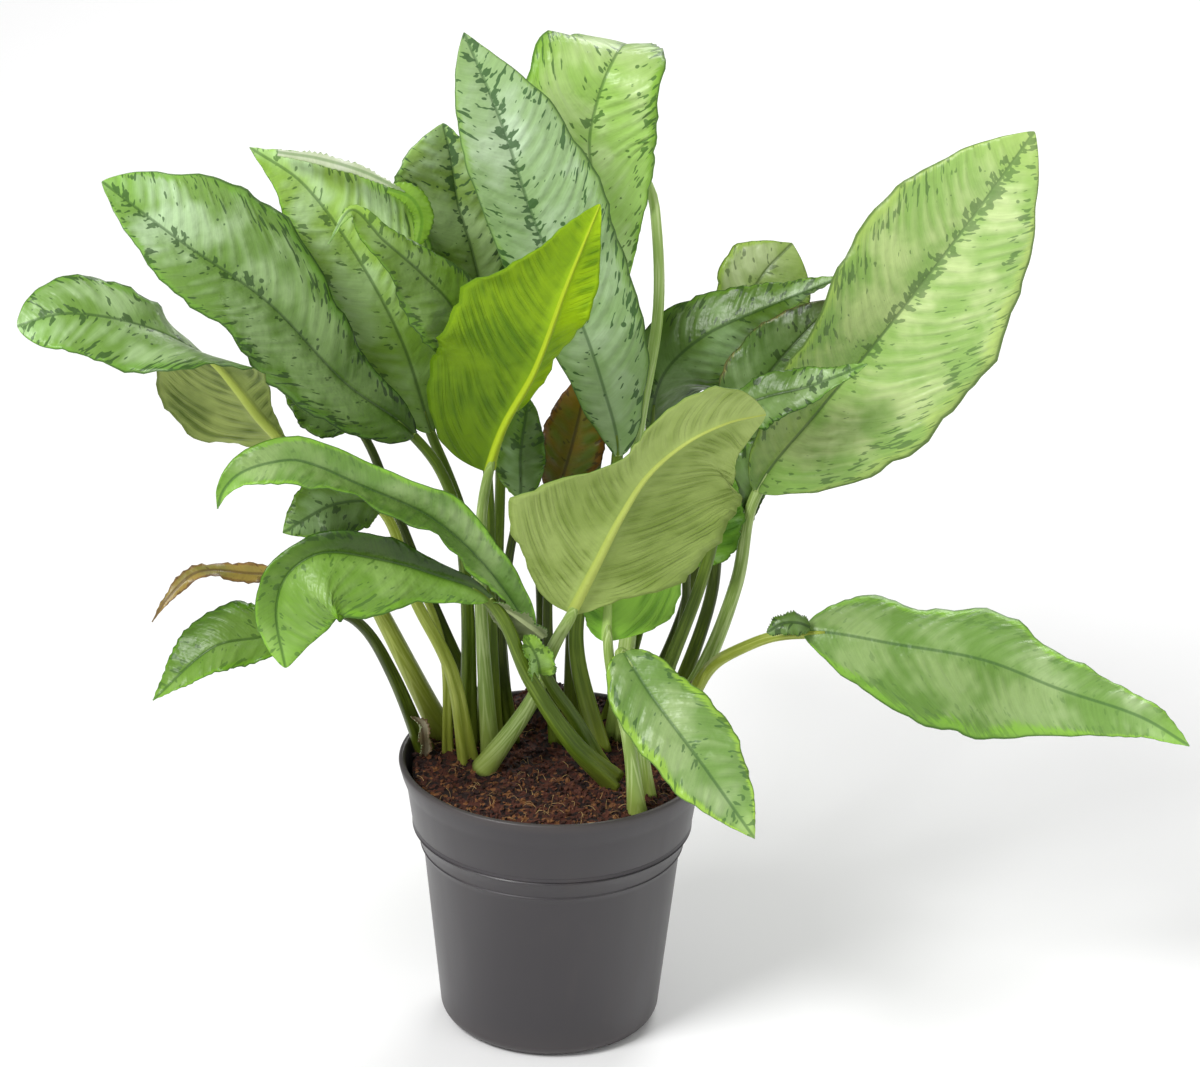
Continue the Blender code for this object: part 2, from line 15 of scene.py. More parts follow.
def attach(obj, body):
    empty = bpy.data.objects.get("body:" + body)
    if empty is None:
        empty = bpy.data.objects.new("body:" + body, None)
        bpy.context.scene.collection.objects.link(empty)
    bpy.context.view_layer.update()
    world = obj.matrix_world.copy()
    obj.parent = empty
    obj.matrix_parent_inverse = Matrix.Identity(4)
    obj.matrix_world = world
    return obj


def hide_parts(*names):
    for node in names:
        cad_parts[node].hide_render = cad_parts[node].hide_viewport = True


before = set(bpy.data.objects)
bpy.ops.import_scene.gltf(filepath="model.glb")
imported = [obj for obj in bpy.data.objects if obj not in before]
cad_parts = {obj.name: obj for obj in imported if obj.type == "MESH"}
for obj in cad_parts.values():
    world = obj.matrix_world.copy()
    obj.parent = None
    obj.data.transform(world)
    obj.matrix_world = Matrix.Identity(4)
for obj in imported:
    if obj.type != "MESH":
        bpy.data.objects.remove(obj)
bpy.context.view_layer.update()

CM = 0.01

# Camera: what it looks at, how far it stands back, and how it is turned.
AIM = (0.029, 0, 0.361)
CAMERA_DISTANCE = 3.430
CAMERA_PITCH = 24.1              # degrees that it looks down
CAMERA_ROLL = 1.1
LENS = 154.2
SENSOR = 36

# Stage: the floor's half side and finish, and the light from all round.
STAGE_REACH = 30
STAGE_COLOUR = (0.95, 0.95, 0.95, 1)
STAGE_ROUGHNESS = 0.7
WORLD_LIGHT = 0.45

# The pot: radii and heights of its turned profile.
POT_HEIGHT = 0.195
LIP_RADIUS = 0.105
COLLAR_TOP = (0.0994, 0.175)
COLLAR_FOOT = (0.0946, 0.1452)
BODY_TOP = (0.0876, 0.127)
BODY_FOOT = (0.0751, 0.012)
EDGE_RADIUS = 0.012
STAND_RADIUS = 0.0635
WALL = 0.0020
FLOOR = 0.0060
INNER_CORNER = 0.006
LIP_ROUND = 0.0022
POT_STEPS = 192
CHANNELS = 4
CHANNEL_TURN = 0.51              # turn of the first channel, in radians
CHANNEL_WIDTH = 0.018
CHANNEL_DEPTH = 0.0040
CHANNEL_START = 0.040
HOLE_RADIUS = 0.0045
HOLE_CIRCLE = 0.052
SHARP_ABOVE = 32                 # degrees between faces whose edge stays sharp

# The soil's slightly crowned top, and what lies on it.
SOIL_RADIUS = 0.0960
SOIL_EDGE_HEIGHT = 0.1850
SOIL_CROWN = 0.0035
SOIL_LUMP = 0.0016               # height of its unevenness
SOIL_STEPS = 150
SOIL_OVERLAP = 0.0012            # how far its edge runs into the wall
SOIL_TUCK = 0.012                # how far its edge is sunk
CRUMBS = 3600
CRUMB_BATCHES = 30
BACK_HEAP = 0.0135               # height of the soil piled up at the back
MOUND = 0.0035                   # height of the soil drawn up round a stalk
MOUND_REACH = 0.0075
FIBRES = 150

# Leaves, in centimetres.
BLADE_THICKNESS = 0.07
BLADE_COLUMNS = 13               # strips on each side of the midrib
RIB_COLUMNS = (0, 0.35, 0.65, 0.88, 1.02)
BLADE_ROWS = 76
ROW_CROWDING = 0.85              # how close rows lie near the neck and the tip
RIB_SHARE = 0.55                 # the most of a half width that the midrib takes
SKIN_TURN = 0.4                  # how far from the midrib the skin has turned with its half
GROOVE = 0.25                    # depth over the midrib, and its height below, in rib radii
RIDGE = 1.15
PATTERN_STEP = 40.0              # how far along the pattern each next leaf starts
STALK_PATTERN_STEP = 60.0
STALK_ROWS = 46
STALK_SIDES = 20
NECK_TAPER = 0.65
FOOT_FLARE = 0.32
MIN_HALF_WIDTH = (0.28, 0.05)    # in the lower and in the upper half of a blade
TIP_DRAWN_IN = 0.35              # share of the width lost at the very tip
TIP_REACH = 0.035
NIBBLES = ((0.018, 4.6), (0.014, 8.3), (0.009, 14.7))    # the outline's small waves: size, count
STALK_CHANNEL = (0.5, 0.3, 0.2, 0.15)    # depth of its groove and height of its wings in radii,
STALK_WINGS = (0.3, 0.16, 0.0, 0.0)      # from foot to neck
UNDER_BLADE = 1.6                # how far a stalk runs on under its blade
BURIED = 1.6                     # how far it runs into the soil

LEAF_DEFAULTS = dict(foot=None, stalk=(), lift=(10, 10), curl=(-15, -15), wave=(0.2, 3, 0),
                     belly=0.78, blunt=0.7, thick=0.52, upper="sage", under="plain",
                     petiole="green", tone=(1, 1))
LOBE_THICKNESS = 0.2


def leaf(number, **measures):
    """One leaf's measures and finishes.

    foot: where it leaves the soil (x, y). stalk: points the stalk passes. rib: points on the
    midrib, neck to tip. facing: the way the upper skin looks, from neck to tip. left, right: half
    widths, seen from the neck with the upper skin up. lift: degrees that each half rises from the
    midrib, and curl: degrees that it bends on the way to its margin. wave: margin wave's height,
    count and phase. belly, blunt: where the outline is widest and how round its ends are.
    Any measure along the leaf may be a list from neck to tip. thick: stalk's radius. upper,
    under, petiole: the finishes of its two skins and its stalk. tone: painted light and shade,
    how much lighter or darker each half, left and right, is drawn than the finish's own colours.
    """
    return {**LEAF_DEFAULTS, "number": number, **measures}


# Each leaf's tone is painted light and shade on its two halves.
LEAVES = (
    leaf("01", foot=(-7.5, 3.8), stalk=((-11.5, 2.5, 28), (-14.5, 1, 35)),
         rib=((-17.7, -2, 42.6), (-19.6, -4.2, 46), (-21, -6.2, 49), (-22.2, -7.3, 51),
              (-23.9, -8, 52.4), (-25.7, -8.7, 53.6), (-28.5, -9.5, 54.7), (-31.6, -10, 55.1),
              (-34.3, -10.5, 54.4)),
         facing=((0, 0.9, 0.3), (0, 0.9, 0.3), (0.1, 0.7, 0.5), (0.1, 0.1, 0.9), (-0.1, -0.4, 0.8),
              (-0.2, -0.6, 0.7), (-0.4, -0.6, 0.5)), left=(1.4, 1.4, 2.6, 4.6, 4.6, 4.2, 7.5),
         right=(5.4, 6.7, 6.5, 4, 2.2, 4.3, 5.5), wave=(0.4, 3, 0.2), belly=1, blunt=0.55,
         thick=0.65, under="arching", petiole="yellow", tone=((1, 0.85, 1.2), (1.05, 0.85, 1.1))),
    leaf("02", foot=(-5.9, 2.2), stalk=((-6, 1.5, 30.5), (-7, 1, 38)),
         rib=((-9.5, 0, 43), (-14, -1, 47), (-19, -2, 53), (-24.5, -3, 57.5), (-29.5, -3, 61.5)),
         facing=((0.4, -0.8, 0.5), (0.1, -0.8, 0.6), (-0.1, -0.8, 0.6)),
         left=(4.8, 5, 5.1, 4.7, 4.6, 4.2), right=(2.4, 2.6, 3.2, 5.8, 6.8, 6.8),
         lift=((38, 38, 35, 35), (30, 20, 5, 5)), wave=(0.3, 3, 0.1), belly=0.88, blunt=0.62,
         tone=((0.65, 0.9, 1.3), (0.5, 0.9, 1.35))),
    leaf("03", foot=(-4.7, 3.5), stalk=((-5, 4, 29), (-6.5, 4.5, 35.5)),
         rib=((-8.5, 4, 41.5), (-10.5, 4, 48), (-13.5, 4, 54), (-17, 4, 59), (-20.5, 4, 61.5)),
         facing=((0.3, -0.9, 0.4), (0.3, -0.9, 0.4), (0.3, -0.7, 0.5)),
         left=(3, 3.4, 3.7, 3.5, 4.2, 3.2), right=(2.4, 2.6, 4.3, 6.3, 4.6, 3),
         lift=(8, (10, 20, 15)), curl=(-10, (-20, -50, -40)), upper="pale",
         tone=((0.75, 0.92, 1.15), (0.45, 1.1, 1.25))),
    leaf("04", foot=(-4, 1.9), stalk=((-4.4, 0.8, 31), (-4.5, 0.5, 38)),
         rib=((-5.5, 0, 48), (-7, -1, 52.5), (-9, -1.5, 55), (-11.5, -2, 57.5), (-13.5, -2, 59.5),
              (-15, -3, 57.5)),
         facing=((0.3, -0.7, 0.5), (0, -0.6, 0.8), (-0.3, -0.5, 0.8)),
         left=(2.6, 3.4, 3.4, 1.9, 1.3, 0.8), right=(2.2, 2.8, 1.9, 1.4, 0.8, 0.7), lift=(10, 20),
         thick=0.42, upper="pale", tone=((1, 0.65, 0.95), (0.75, 0.7, 1.3))),
    leaf("05", foot=(-3.3, 4.7), stalk=((-4, 6, 29), (-4, 7.5, 39)),
         rib=((-5, 8.5, 48), (-6, 9, 52.5), (-7, 9, 56), (-7.5, 8.5, 59.5), (-8, 8, 62)),
         facing=((0.2, -0.9, 0.3), (0.1, -0.9, 0.4)), left=(2.4, 3.2, 3.6, 5.4, 7.4), right=2.4,
         lift=(20, 35), wave=(0.3, 3.5, 0), belly=0.95, blunt=0.55, thick=0.45, upper="feathered",
         tone=((0.6, 1, 1.5), (0.65, 1.05, 1.6))),
    leaf("06", foot=(3.2, 2), stalk=((1.4, 3.6, 26.5), (2.6, 4, 34)),
         rib=((4, 4, 40), (3, 3.5, 45), (1, 3, 51), (-1.5, 2.5, 56.5), (-4, 2.5, 64),
              (-6.5, 3, 70)),
         facing=((0.1, -1, 0.2), (0.2, -1, 0.2), (0.3, -0.9, 0.3)),
         left=(2.8, 2.6, 2.8, 3.2, 4.8, 6.2), right=(3.8, 4.3, 4.3, 5.4, 5.6, 4.2), lift=(12, 12),
         wave=(0.25, 3.5, 0.3), belly=0.85, thick=0.6, upper="silver",
         tone=((0.8, 1, 1.05), (0.9, 1.05, 1.1))),
    leaf("07", foot=(1.2, 5.6), stalk=((1.3, 7, 28), (2.6, 8, 38.5)),
         rib=((3.9, 9, 50), (2.9, 9, 54), (2, 9, 57.8), (1.7, 9, 60.7), (2.2, 9, 63.5),
              (2.8, 9.3, 65.3), (3.5, 11, 66.2), (4, 14, 65.7), (4.6, 17, 64.4)),
         facing=((0.1, -1, 0.1), (0.1, -1, 0.1), (0.1, -1, 0.2), (0, -0.9, 0.3), (0, -0.2, 0.9),
              (0.1, 0.3, 0.9)), left=(2.8, 2.2, 2.6, 3.2, 5.2, 6, 5, 4),
         right=(2.4, 3.4, 4.2, 4.5, 4.3, 4.2, 4, 3), lift=(12, 12), wave=(0.2, 4, 0.6), belly=0.9,
         upper="lime", petiole="dark", tone=((1, 1, 0.9), (1.3, 1.1, 0.75))),
    # Leaf 08's lime underside is partly its own colour and partly painted light shining through the
    # blade.
    leaf("08", foot=(-4.3, 0.6), stalk=((-5, -1, 31.5), (-5, -1, 37.5)),
         rib=((-4.5, -1.5, 41), (-3.5, -2, 44.5), (-1.5, -3, 49), (0.5, -4, 55.5), (2.5, -4, 61)),
         facing=((0.2, 0.9, 0.3), (-0.2, 0.9, 0.3)),
         left=(0.6, 0.6, 0.8, 1.2, 2.1, 2.6, 3, 2.6, 1.9),
         right=(6.4, 6.2, 6.4, 6.7, 6.9, 7.4, 5.8, 4.2, 3.9), lift=((60, 60, 50, 22, 10, 10), 10),
         wave=(0.3, 3, 0.4), belly=0.7, blunt=0.6, upper="fresh", under="lime_and_painted_glow", petiole="pale",
         tone=((1.2, 1.3, 1.4), (0.7, 1, 1.2))),
    leaf("09", foot=(6.9, 4.2), stalk=((10, 4, 24), (12.2, 3.5, 31)),
         rib=((13.3, 2, 38.5), (17.3, 1, 45), (20.4, 0, 49.7), (25.8, -1, 58.2), (30.3, -1, 65.4)),
         facing=((-0.2, -0.8, 0.5), (0, -0.9, 0.4), (0.1, -0.9, 0.4)),
         left=(3.8, 4.6, 4.4, 6, 7, 6), right=(5.8, 7.2, 6.9, 6.9, 6.3, 5.2),
         lift=((50, 50, 35, 15, 10), 8), wave=(0.3, 3.5, 0.2), belly=0.92, blunt=0.64, thick=0.6,
         upper="bright", petiole="pale", tone=((0.62, 0.82, 1.05), (0.88, 0.97, 1.05))),
    leaf("10", foot=(5.3, 1.6), stalk=((8, 0.5, 27), (10, -0.5, 34), (11, -1, 40.5)),
         rib=((11, -2, 45.5), (13, -2.5, 47), (16.5, -3.5, 48.5), (20, -4.5, 50.5)),
         facing=((0, -0.7, 0.7),), left=(1.4, 1.6, 1.6, 1.2, 1), right=(1.6, 2.4, 1.5, 1.1, 1),
         tone=((0.75, 0.8, 1.2), (0.85, 0.7, 1.3))),
    leaf("11", foot=(3.6, 5.8), stalk=((6, 6, 28.5), (6.5, 7, 37)),
         rib=((6.2, 7, 40.9), (7, 7, 44.8), (9.6, 7, 47.6), (13.6, 7, 49.7), (18.6, 7, 52)),
         facing=((0.1, -0.6, 0.8),), left=(2.4, 2.9, 3.2, 2.5, 2.2, 2),
         right=(5.5, 5.5, 4.2, 2.4, 1.2, 1), lift=(10, (-35, -40, -60, -60)), upper="dark_green_and_painted_shade",
         tone=((1, 1, 1.3), (0.75, 1.25, 1.5))),
    leaf("12", foot=(-4.8, -1.4), stalk=((-1.5, -1.6, 24.3), (-0.3, -2.8, 28.4)),
         rib=((1.1, -5, 32.5), (2.8, -7, 37.2), (4.3, -8.5, 41.2), (6, -9.5, 44.6),
              (8.4, -10, 47.1), (11, -9.5, 48.3), (13.4, -8.5, 48.5)),
         facing=((0.3, 0.6, 0.7), (0, 0.9, 0.5), (-0.3, 0.9, 0.3)),
         left=(0.9, 3, 6.1, 6.5, 7.3, 8.4, 9.5, 10, 8),
         right=(3.9, 4.6, 6.1, 7.4, 5, 2.8, 4.3, 7, 5), lift=(8, 8), wave=(0.25, 2.5, 0.2),
         belly=0.62, blunt=0.5, thick=0.6, upper="fresh", under="straw", petiole="pale",
         tone=((1, 0.9, 1.1), (1.05, 1, 1.1))),
    leaf("13", foot=(3.4, -1), stalk=((1.5, -2.8, 23.5), (-0.5, -4.2, 27.5)),
         rib=((-1.5, -4.2, 30.5), (-4.6, -4.8, 35.7), (-8.2, -6, 39.7), (-12.6, -7.5, 42.5),
              (-16.5, -8.5, 44.6), (-18.6, -9, 44.6), (-20.4, -9.4, 44), (-21.4, -9.8, 43),
              (-21.8, -10, 41.8)),
         facing=((0.6, -0.5, 0.4), (0.2, -0.7, 0.7), (0, -0.5, 0.8)),
         left=(1.6, 2.4, 2.8, 2.2, 1.9, 1.4, 3, 3.6, 1.6),
         right=(2.4, 1.9, 1.8, 2.2, 1.8, 1.8, 2.3, 3, 2.4),
         lift=((45, 45, 45, 30, 20, 15), (55, 55, 55, 35, 30)), wave=(0.2, 4, 0.3), upper="plain",
         tone=((1.35, 0.8, 1.3), (1.15, 1.1, 1))),
    leaf("14", foot=(4.3, -2.8), stalk=((1.5, -4.6, 22.5), (-1.5, -6, 28)),
         rib=((-4.2, -6.5, 34.1), (-8, -7.6, 36.4), (-12, -9, 38.1), (-15.2, -9.8, 38.7),
              (-17.3, -10.4, 37.4), (-18, -10.9, 35), (-17.4, -11.2, 31.1)),
         facing=((-0.1, -0.5, 0.8), (-0.2, -0.5, 0.8), (-0.5, -0.6, 0.6)),
         left=(3, 2.8, 2.8, 4.2, 4.5, 4.9, 5.6, 5.6, 2.8),
         right=(1.2, 1.2, 1.3, 1.8, 1.6, 1.3, 1.6, 2.1, 1.8), lift=(0, (70, 70, 70, 60, 45)),
         curl=(-30, -30), wave=(0.25, 3.5, 0.7), belly=1.1, blunt=0.5, thick=0.65, upper="fresh",
         tone=((1, 1, 1.05), (0.35, 0.45, 1.25))),
    leaf("15", foot=(-8.8, 2.1), stalk=((-11, 0, 25.5), (-13, -2, 30)),
         rib=((-15.5, -4, 32), (-19, -5, 30.5), (-22.5, -6, 30), (-26.5, -7, 26.5)),
         facing=((-0.1, -0.5, 0.8),), left=(1.8, 2, 2.1, 2.6, 1.8, 1.4),
         right=(2.7, 2.5, 2.8, 2.8, 2.3, 2), lift=(15, 15), thick=0.5, upper="fresh",
         petiole="dark", tone=((0.9, 0.85, 1.15), (0.85, 0.75, 0.95))),
    leaf("16", foot=(-7.2, 1.6), stalk=((-7.6, 1, 27), (-9.8, 0.2, 32.4)),
         rib=((-14.5, -3, 34), (-20, -4, 34.5), (-23.5, -5, 35), (-25.5, -6, 33.5),
              (-26.5, -6.5, 32)),
         facing=((0, -0.5, 0.8),), left=0.7, right=0.7, thick=0.32, upper="dry", petiole="yellow",
         tone=((1, 1.15, 1.3), (1.3, 1.3, 0.95))),
    leaf("17", foot=(-5.8, 0.2), stalk=((-7, -0.5, 26), (-9.5, -1.5, 32)),
         rib=((-11.5, -1, 38), (-14.5, -2.5, 39), (-18, -4, 37.5)),
         facing=((0.2, -0.6, 0.6),), left=2.2, right=2.4, upper="dark_green_and_painted_shade", petiole="yellow",
         tone=((1.1, 0.95, 1.6), (1.15, 1.2, 1.4))),
    leaf("18", foot=(-4.8, 6.4), stalk=((-8.5, 6, 28), (-11.5, 5.5, 36.5)),
         rib=((-13.5, 5, 41.5), (-16, 5, 43.5), (-18.5, 5, 45.5)),
         facing=((0.2, -0.8, 0.5),), left=2.5, right=2.5, thick=0.45, upper="dark_green_and_painted_shade", petiole="dark"),
    leaf("19", foot=(5.8, -6.8), stalk=((5, -7, 24.5), (4, -6, 28)),
         rib=((3.5, -5, 30.5), (3.5, -4, 33), (3, -3, 36), (3.5, -2, 38.5)),
         facing=((-0.2, 0.9, 0.3),), left=5.2, right=2, upper="fresh", under="green",
         petiole="pale", tone=(1.2, 1.2)),
    leaf("20", foot=(6.4, -4.4), stalk=((5.8, -4.6, 23.5), (5.6, -5.2, 27.8)),
         rib=((4.6, -7.6, 31), (6.4, -9.8, 29), (9.9, -12.6, 25.3), (13.4, -14, 20.7)),
         facing=((0, -0.8, 0.6),), left=(2.2, 2.7, 2.8, 3.2, 3.2, 3.2, 2.8),
         right=(3.4, 3.2, 2.9, 2.7, 3, 2.6, 2), wave=(0.25, 4, 0.4), upper="flecked", under="green",
         petiole="pale", tone=((1.05, 1.15, 1.3), (1, 1.1, 1.3))),
    leaf("21", foot=(7.9, 1.6), stalk=((10, 1, 25), (12, -1, 28)),
         rib=((16.5, -3, 30.6), (23, -4.2, 30.3), (28.6, -5.1, 29.7), (33.6, -6, 28.1),
              (38.9, -6.8, 26.6), (42.3, -7, 24.6)),
         facing=((0, -0.5, 0.9),), left=(4.4, 5.4, 3.4, 4, 4.1, 3.2, 3, 3.6, 4),
         right=(3.2, 4.1, 4.8, 5.3, 5.4, 4.4, 3.3, 3.2, 2.4), lift=(5, (-30, -40, -35)),
         wave=(0.2, 4, 0.1), upper="plain", petiole="yellow",
         tone=((1, 1.2, 1.35), (1.05, 1, 1.4))),
    leaf("22", foot=(-2.8, 2.9), stalk=((-3.7, 2.5, 27), (-3.2, 2.5, 33)),
         rib=((-2.5, 2.5, 37.5), (-2.5, 2, 41), (-2, 2, 45)),
         facing=((0, -0.9, 0.4),), left=1.7, right=1.7, thick=0.42, upper="dark_green_and_painted_shade", petiole="dark",
         tone=(1.4, (1.1, 1, 0.9))),
    leaf("23", foot=(0.2, 2.6), stalk=((-0.5, 3.5, 26.5), (-0.5, 4.5, 32)),
         rib=((0, 5, 36.5), (1, 5.5, 40.5), (2, 6, 45.5)),
         facing=((0, -0.9, 0.4),), left=2.2, right=2.2, thick=0.42, upper="brown", petiole="dark",
         tone=((0.7, 1, 1.4), (1, 1.3, 1.4))),
    leaf("24", foot=(6.2, 2.7), stalk=((8.4, 2.2, 27.5), (8.8, 2, 30.5)),
         rib=((9, 2, 33), (10.3, 2.4, 36), (11.4, 3, 39.8)),
         facing=((0.5, 0.7, 0.3),), left=2.4, right=1.8, thick=0.42, upper="fresh", under="green",
         petiole="dark", tone=(0.8, 0.8)),
    # Leaf 25's stalk finish is painted light: it is drawn brighter than its own pale green.
    leaf("25", foot=(4.2, 3.4),
         stalk=((5.4, 5, 31.9), (5.3, 5.6, 40.5), (6.5, 7, 49.2), (6.2, 9.8, 55.2)),
         rib=((5.5, 11.5, 57), (3, 15, 58.5), (-0.5, 20, 56), (-4, 27, 50)),
         facing=((-0.3, -0.5, 0.8), (0, 0.4, 0.9)), left=3.5, right=3.5, belly=1, petiole="light"),
    leaf("26", foot=(5.6, 6.4), stalk=((9, 9, 27), (10, 10, 36.5)),
         rib=((10.5, 11, 41.5), (12, 11, 47), (13.5, 11, 50.5), (15.5, 12, 52.5)),
         facing=((0, -1, 0.4),), left=(1.6, 1.4, 1.6, 2.5, 4.6, 3.4),
         right=(2.4, 3.4, 3.9, 4.8, 6.4, 10), upper="olive", petiole="dark",
         tone=((1.2, 1.2, 1.15), 1.1)),
    leaf("27", foot=(7.4, 5.4), stalk=((10.5, 6, 28.5), (11, 5, 36.5)),
         rib=((12, 5, 41), (13.5, 5, 45), (16, 5, 48.5), (18.5, 5.5, 51)),
         facing=((0, -0.8, 0.6),), left=2.8, right=3, upper="scorched", petiole="dark",
         tone=((0.95, 1, 0.45), 0.9)),
    leaf("28", foot=(-1.0, 6.8), stalk=((-1, 11, 26), (-2, 14, 34)),
         rib=((-3, 17, 38.5), (-4.5, 21, 42), (-6, 27, 42), (-7, 34, 37)),
         facing=((0, -0.4, 0.9), (0, 0.5, 0.8)), left=4.5, right=4.5, petiole="dark"),
)


def lobe(number, **measures):
    """A small fold at a leaf's margin or neck or on its stalk, with no stalk of its own."""
    return leaf(number, **{"thick": LOBE_THICKNESS, **measures})


LOBES = (
    lobe("13", rib=((-0.9, -5.4, 28.2), (-1.1, -6, 29.6), (-1.5, -6.2, 30.6), (-2, -6, 31.3)),
         facing=((0.2, -0.9, 0.2), (0.1, -0.8, 0.6)), left=1.4, right=1.4, lift=(25, 25),
         curl=(45, 45), wave=(0.1, 3, 0), belly=0.8, blunt=0.5, upper="pale"),
    lobe("14", rib=((-0.7, -5.4, 30.9), (-1.8, -5.8, 32), (-3.2, -6, 33.1), (-4.4, -6.2, 33.8)),
         facing=((0.2, 0.8, 0.5), (0, 0.8, 0.6)), left=1.3, right=1.7, curl=(-50, -50),
         wave=(0.15, 3, 0.4), blunt=0.5, under="chalky"),
    lobe("21", rib=((17, -3.5, 31.1), (16.2, -3.9, 31.6), (15.2, -4, 31.6), (14.1, -4, 30.9)),
         facing=((0, -0.7, 0.7),), left=0.9, right=0.9, lift=(20, 20), curl=(-70, -70),
         wave=(0.1, 3, 0), blunt=0.5, upper="dark_green_and_painted_shade"),
    # Leaf 03's curled upper margin. Its whitish colour is a painted highlight, the gloss of light
    # on the curve.
    lobe("03", rib=((-18.6, 3.2, 61.5), (-15.9, 3.2, 61.1), (-12.9, 3.2, 60.2), (-10.3, 3.2, 58.9)),
         facing=((-0.1, -0.7, 0.7), (0.1, -0.8, 0.6)), left=0.5, right=0.45, lift=(0, 0),
         curl=(-50, -50), wave=(0.05, 3, 0), blunt=0.7, upper="painted_highlight", under="chalky"),
    # Leaf 03's rolled-back flap. Its bright lime is partly its own green and partly painted light
    # shining through it.
    lobe("03", rib=((-11.4, 3.2, 59.1), (-9.9, 3.2, 58.5), (-9.2, 3.2, 57.1), (-9.5, 3.2, 55)),
         facing=((0.1, -0.9, 0.4),), left=0.9, right=0.6, lift=(-5, -5), curl=(-12, -12),
         wave=(0.05, 2, 0.5), blunt=0.5, upper="clear", under="green"),
    lobe("15", rib=((-8.9, 1.2, 18.6), (-8.9, 1, 20), (-9.1, 0.8, 21.2), (-9.7, 0.5, 22)),
         facing=((0.3, -0.9, 0.2), (0.3, -0.6, 0.7)), left=0.6, right=0.7, lift=(20, 20),
         curl=(60, 60), wave=(0.15, 2, 0.3), blunt=0.6, upper="papery", under="chalky"),
    lobe("09", rib=((7.2, 3.6, 18.8), (7.9, 3.3, 20.6), (8.6, 3, 22.4), (9.4, 2.8, 24)),
         facing=((-0.2, -0.9, 0.3),), left=0.7, right=0.6, lift=(20, 20), curl=(60, 60),
         wave=(0.1, 2, 0.6), blunt=0.6, upper="papery", under="chalky"),
    # Leaf 09's base, drawn dark: painted shade in the hollow behind leaf 12.
    lobe("09", rib=((13, 3, 36), (13.3, 3, 37.8), (14.1, 3, 39.8), (15.6, 2.8, 42.2)),
         facing=((0.3, -0.8, 0.3), (0, -0.9, 0.3)), left=(1.4, 2.8, 2.6), right=0.6, lift=(15, 10),
         curl=(-35, 30), wave=(0.15, 2, 0.2), blunt=0.6, thick=0.3, upper="dark_green_and_painted_shade", under="green",
         tone=(0.95, 0.95)),
)


# ---------------------------------------------------------------- leaf surface

def along(measure, t):
    """A measure, or a list of evenly spaced ones, read at the places t from 0 to 1."""
    values = np.atleast_1d(np.asarray(measure, float))
    return np.interp(t, np.linspace(0, 1, len(values)), values)


def on_side(pair, side, t):
    """A measure of the left and of the right half, read for points on either side."""
    return np.where(side < 0, along(pair[0], t), along(pair[1], t))


def unit(vectors):
    return vectors / np.linalg.norm(vectors, axis=-1, keepdims=True)


def square_to(forward, up):
    """The ways nearest to up that are square to the ways forward."""
    return unit(up - (up * forward).sum(axis=1, keepdims=True) * forward)


def ease(value, low, high):
    """0 below low, 1 above high, and smooth between; low may be the larger."""
    part = np.clip((value - low) / (high - low), 0, 1)
    return part * part * (3 - 2 * part)


def chord_places(points):
    steps = np.linalg.norm(np.diff(points, axis=0), axis=1)
    places = np.concatenate(([0], np.cumsum(steps)))
    return places / places[-1]


def smooth_route(points, t):
    """Points on one smooth curve through the given points, at the places t from 0 to 1."""
    places = chord_places(points)
    slopes = np.gradient(points, axis=0) / np.gradient(places)[:, None]
    t = np.clip(t, 0, 1)
    k = np.clip(np.searchsorted(places, t, side="right") - 1, 0, len(points) - 2)
    span = (places[k + 1] - places[k])[:, None]
    s = (t - places[k])[:, None] / span
    start = (2 * s ** 3 - 3 * s ** 2 + 1) * points[k] + (s ** 3 - 2 * s ** 2 + s) * span * slopes[k]
    end = (3 * s ** 2 - 2 * s ** 3) * points[k + 1] + (s ** 3 - s ** 2) * span * slopes[k + 1]
    return start + end


def heading(points, t):
    step = 0.005
    ahead = smooth_route(points, np.clip(t + step, 0, 1))
    return unit(ahead - smooth_route(points, np.clip(t - step, 0, 1)))


def soil_height(x, y):
    reach = (x * x + y * y) / SOIL_RADIUS ** 2
    return SOIL_EDGE_HEIGHT + SOIL_CROWN * (1 - reach)


def spine(measures):
    """All points of a leaf's spine, its length, and the place of its neck from 0 to 1."""
    below = []
    if measures["foot"]:
        x, y = measures["foot"]
        below = [(x, y, soil_height(x * CM, y * CM) / CM), *measures["stalk"]]
    points = np.array([*below, *measures["rib"]], float)
    length = np.linalg.norm(np.diff(points, axis=0), axis=1).sum()
    return points, length, chord_places(points)[len(below)]


def seed_of(measures):
    return int(measures["number"])


def half_width(measures, side, t):
    """How wide the blade is on one side: the leaf's own widths, rounded ends and a worn edge."""
    outline = np.sin(np.pi * t ** measures["belly"]).clip(0) ** measures["blunt"]
    outline = outline * (1 - TIP_DRAWN_IN * np.exp(-(1 - t) / TIP_REACH))
    turn = 2 * np.pi * (0.31 * seed_of(measures) + 0.4 * side)
    nibble = sum(size * np.sin(2 * np.pi * count * t + turn * count) for size, count in NIBBLES)
    width = on_side((measures["left"], measures["right"]), side, t) * outline * (1 + nibble)
    return np.maximum(width, np.where(t < 0.5, *MIN_HALF_WIDTH))


def blade_frame(measures, t):
    """Midrib points, the way it heads and the way the upper skin looks, at the places t."""
    points, _, neck = spine(measures)
    u = neck + (1 - neck) * t
    forward = heading(points, u)
    facing = np.array(measures["facing"], float)
    up = np.stack([along(facing[:, axis], t) for axis in range(3)], axis=1)
    return smooth_route(points, u), forward, square_to(forward, up)


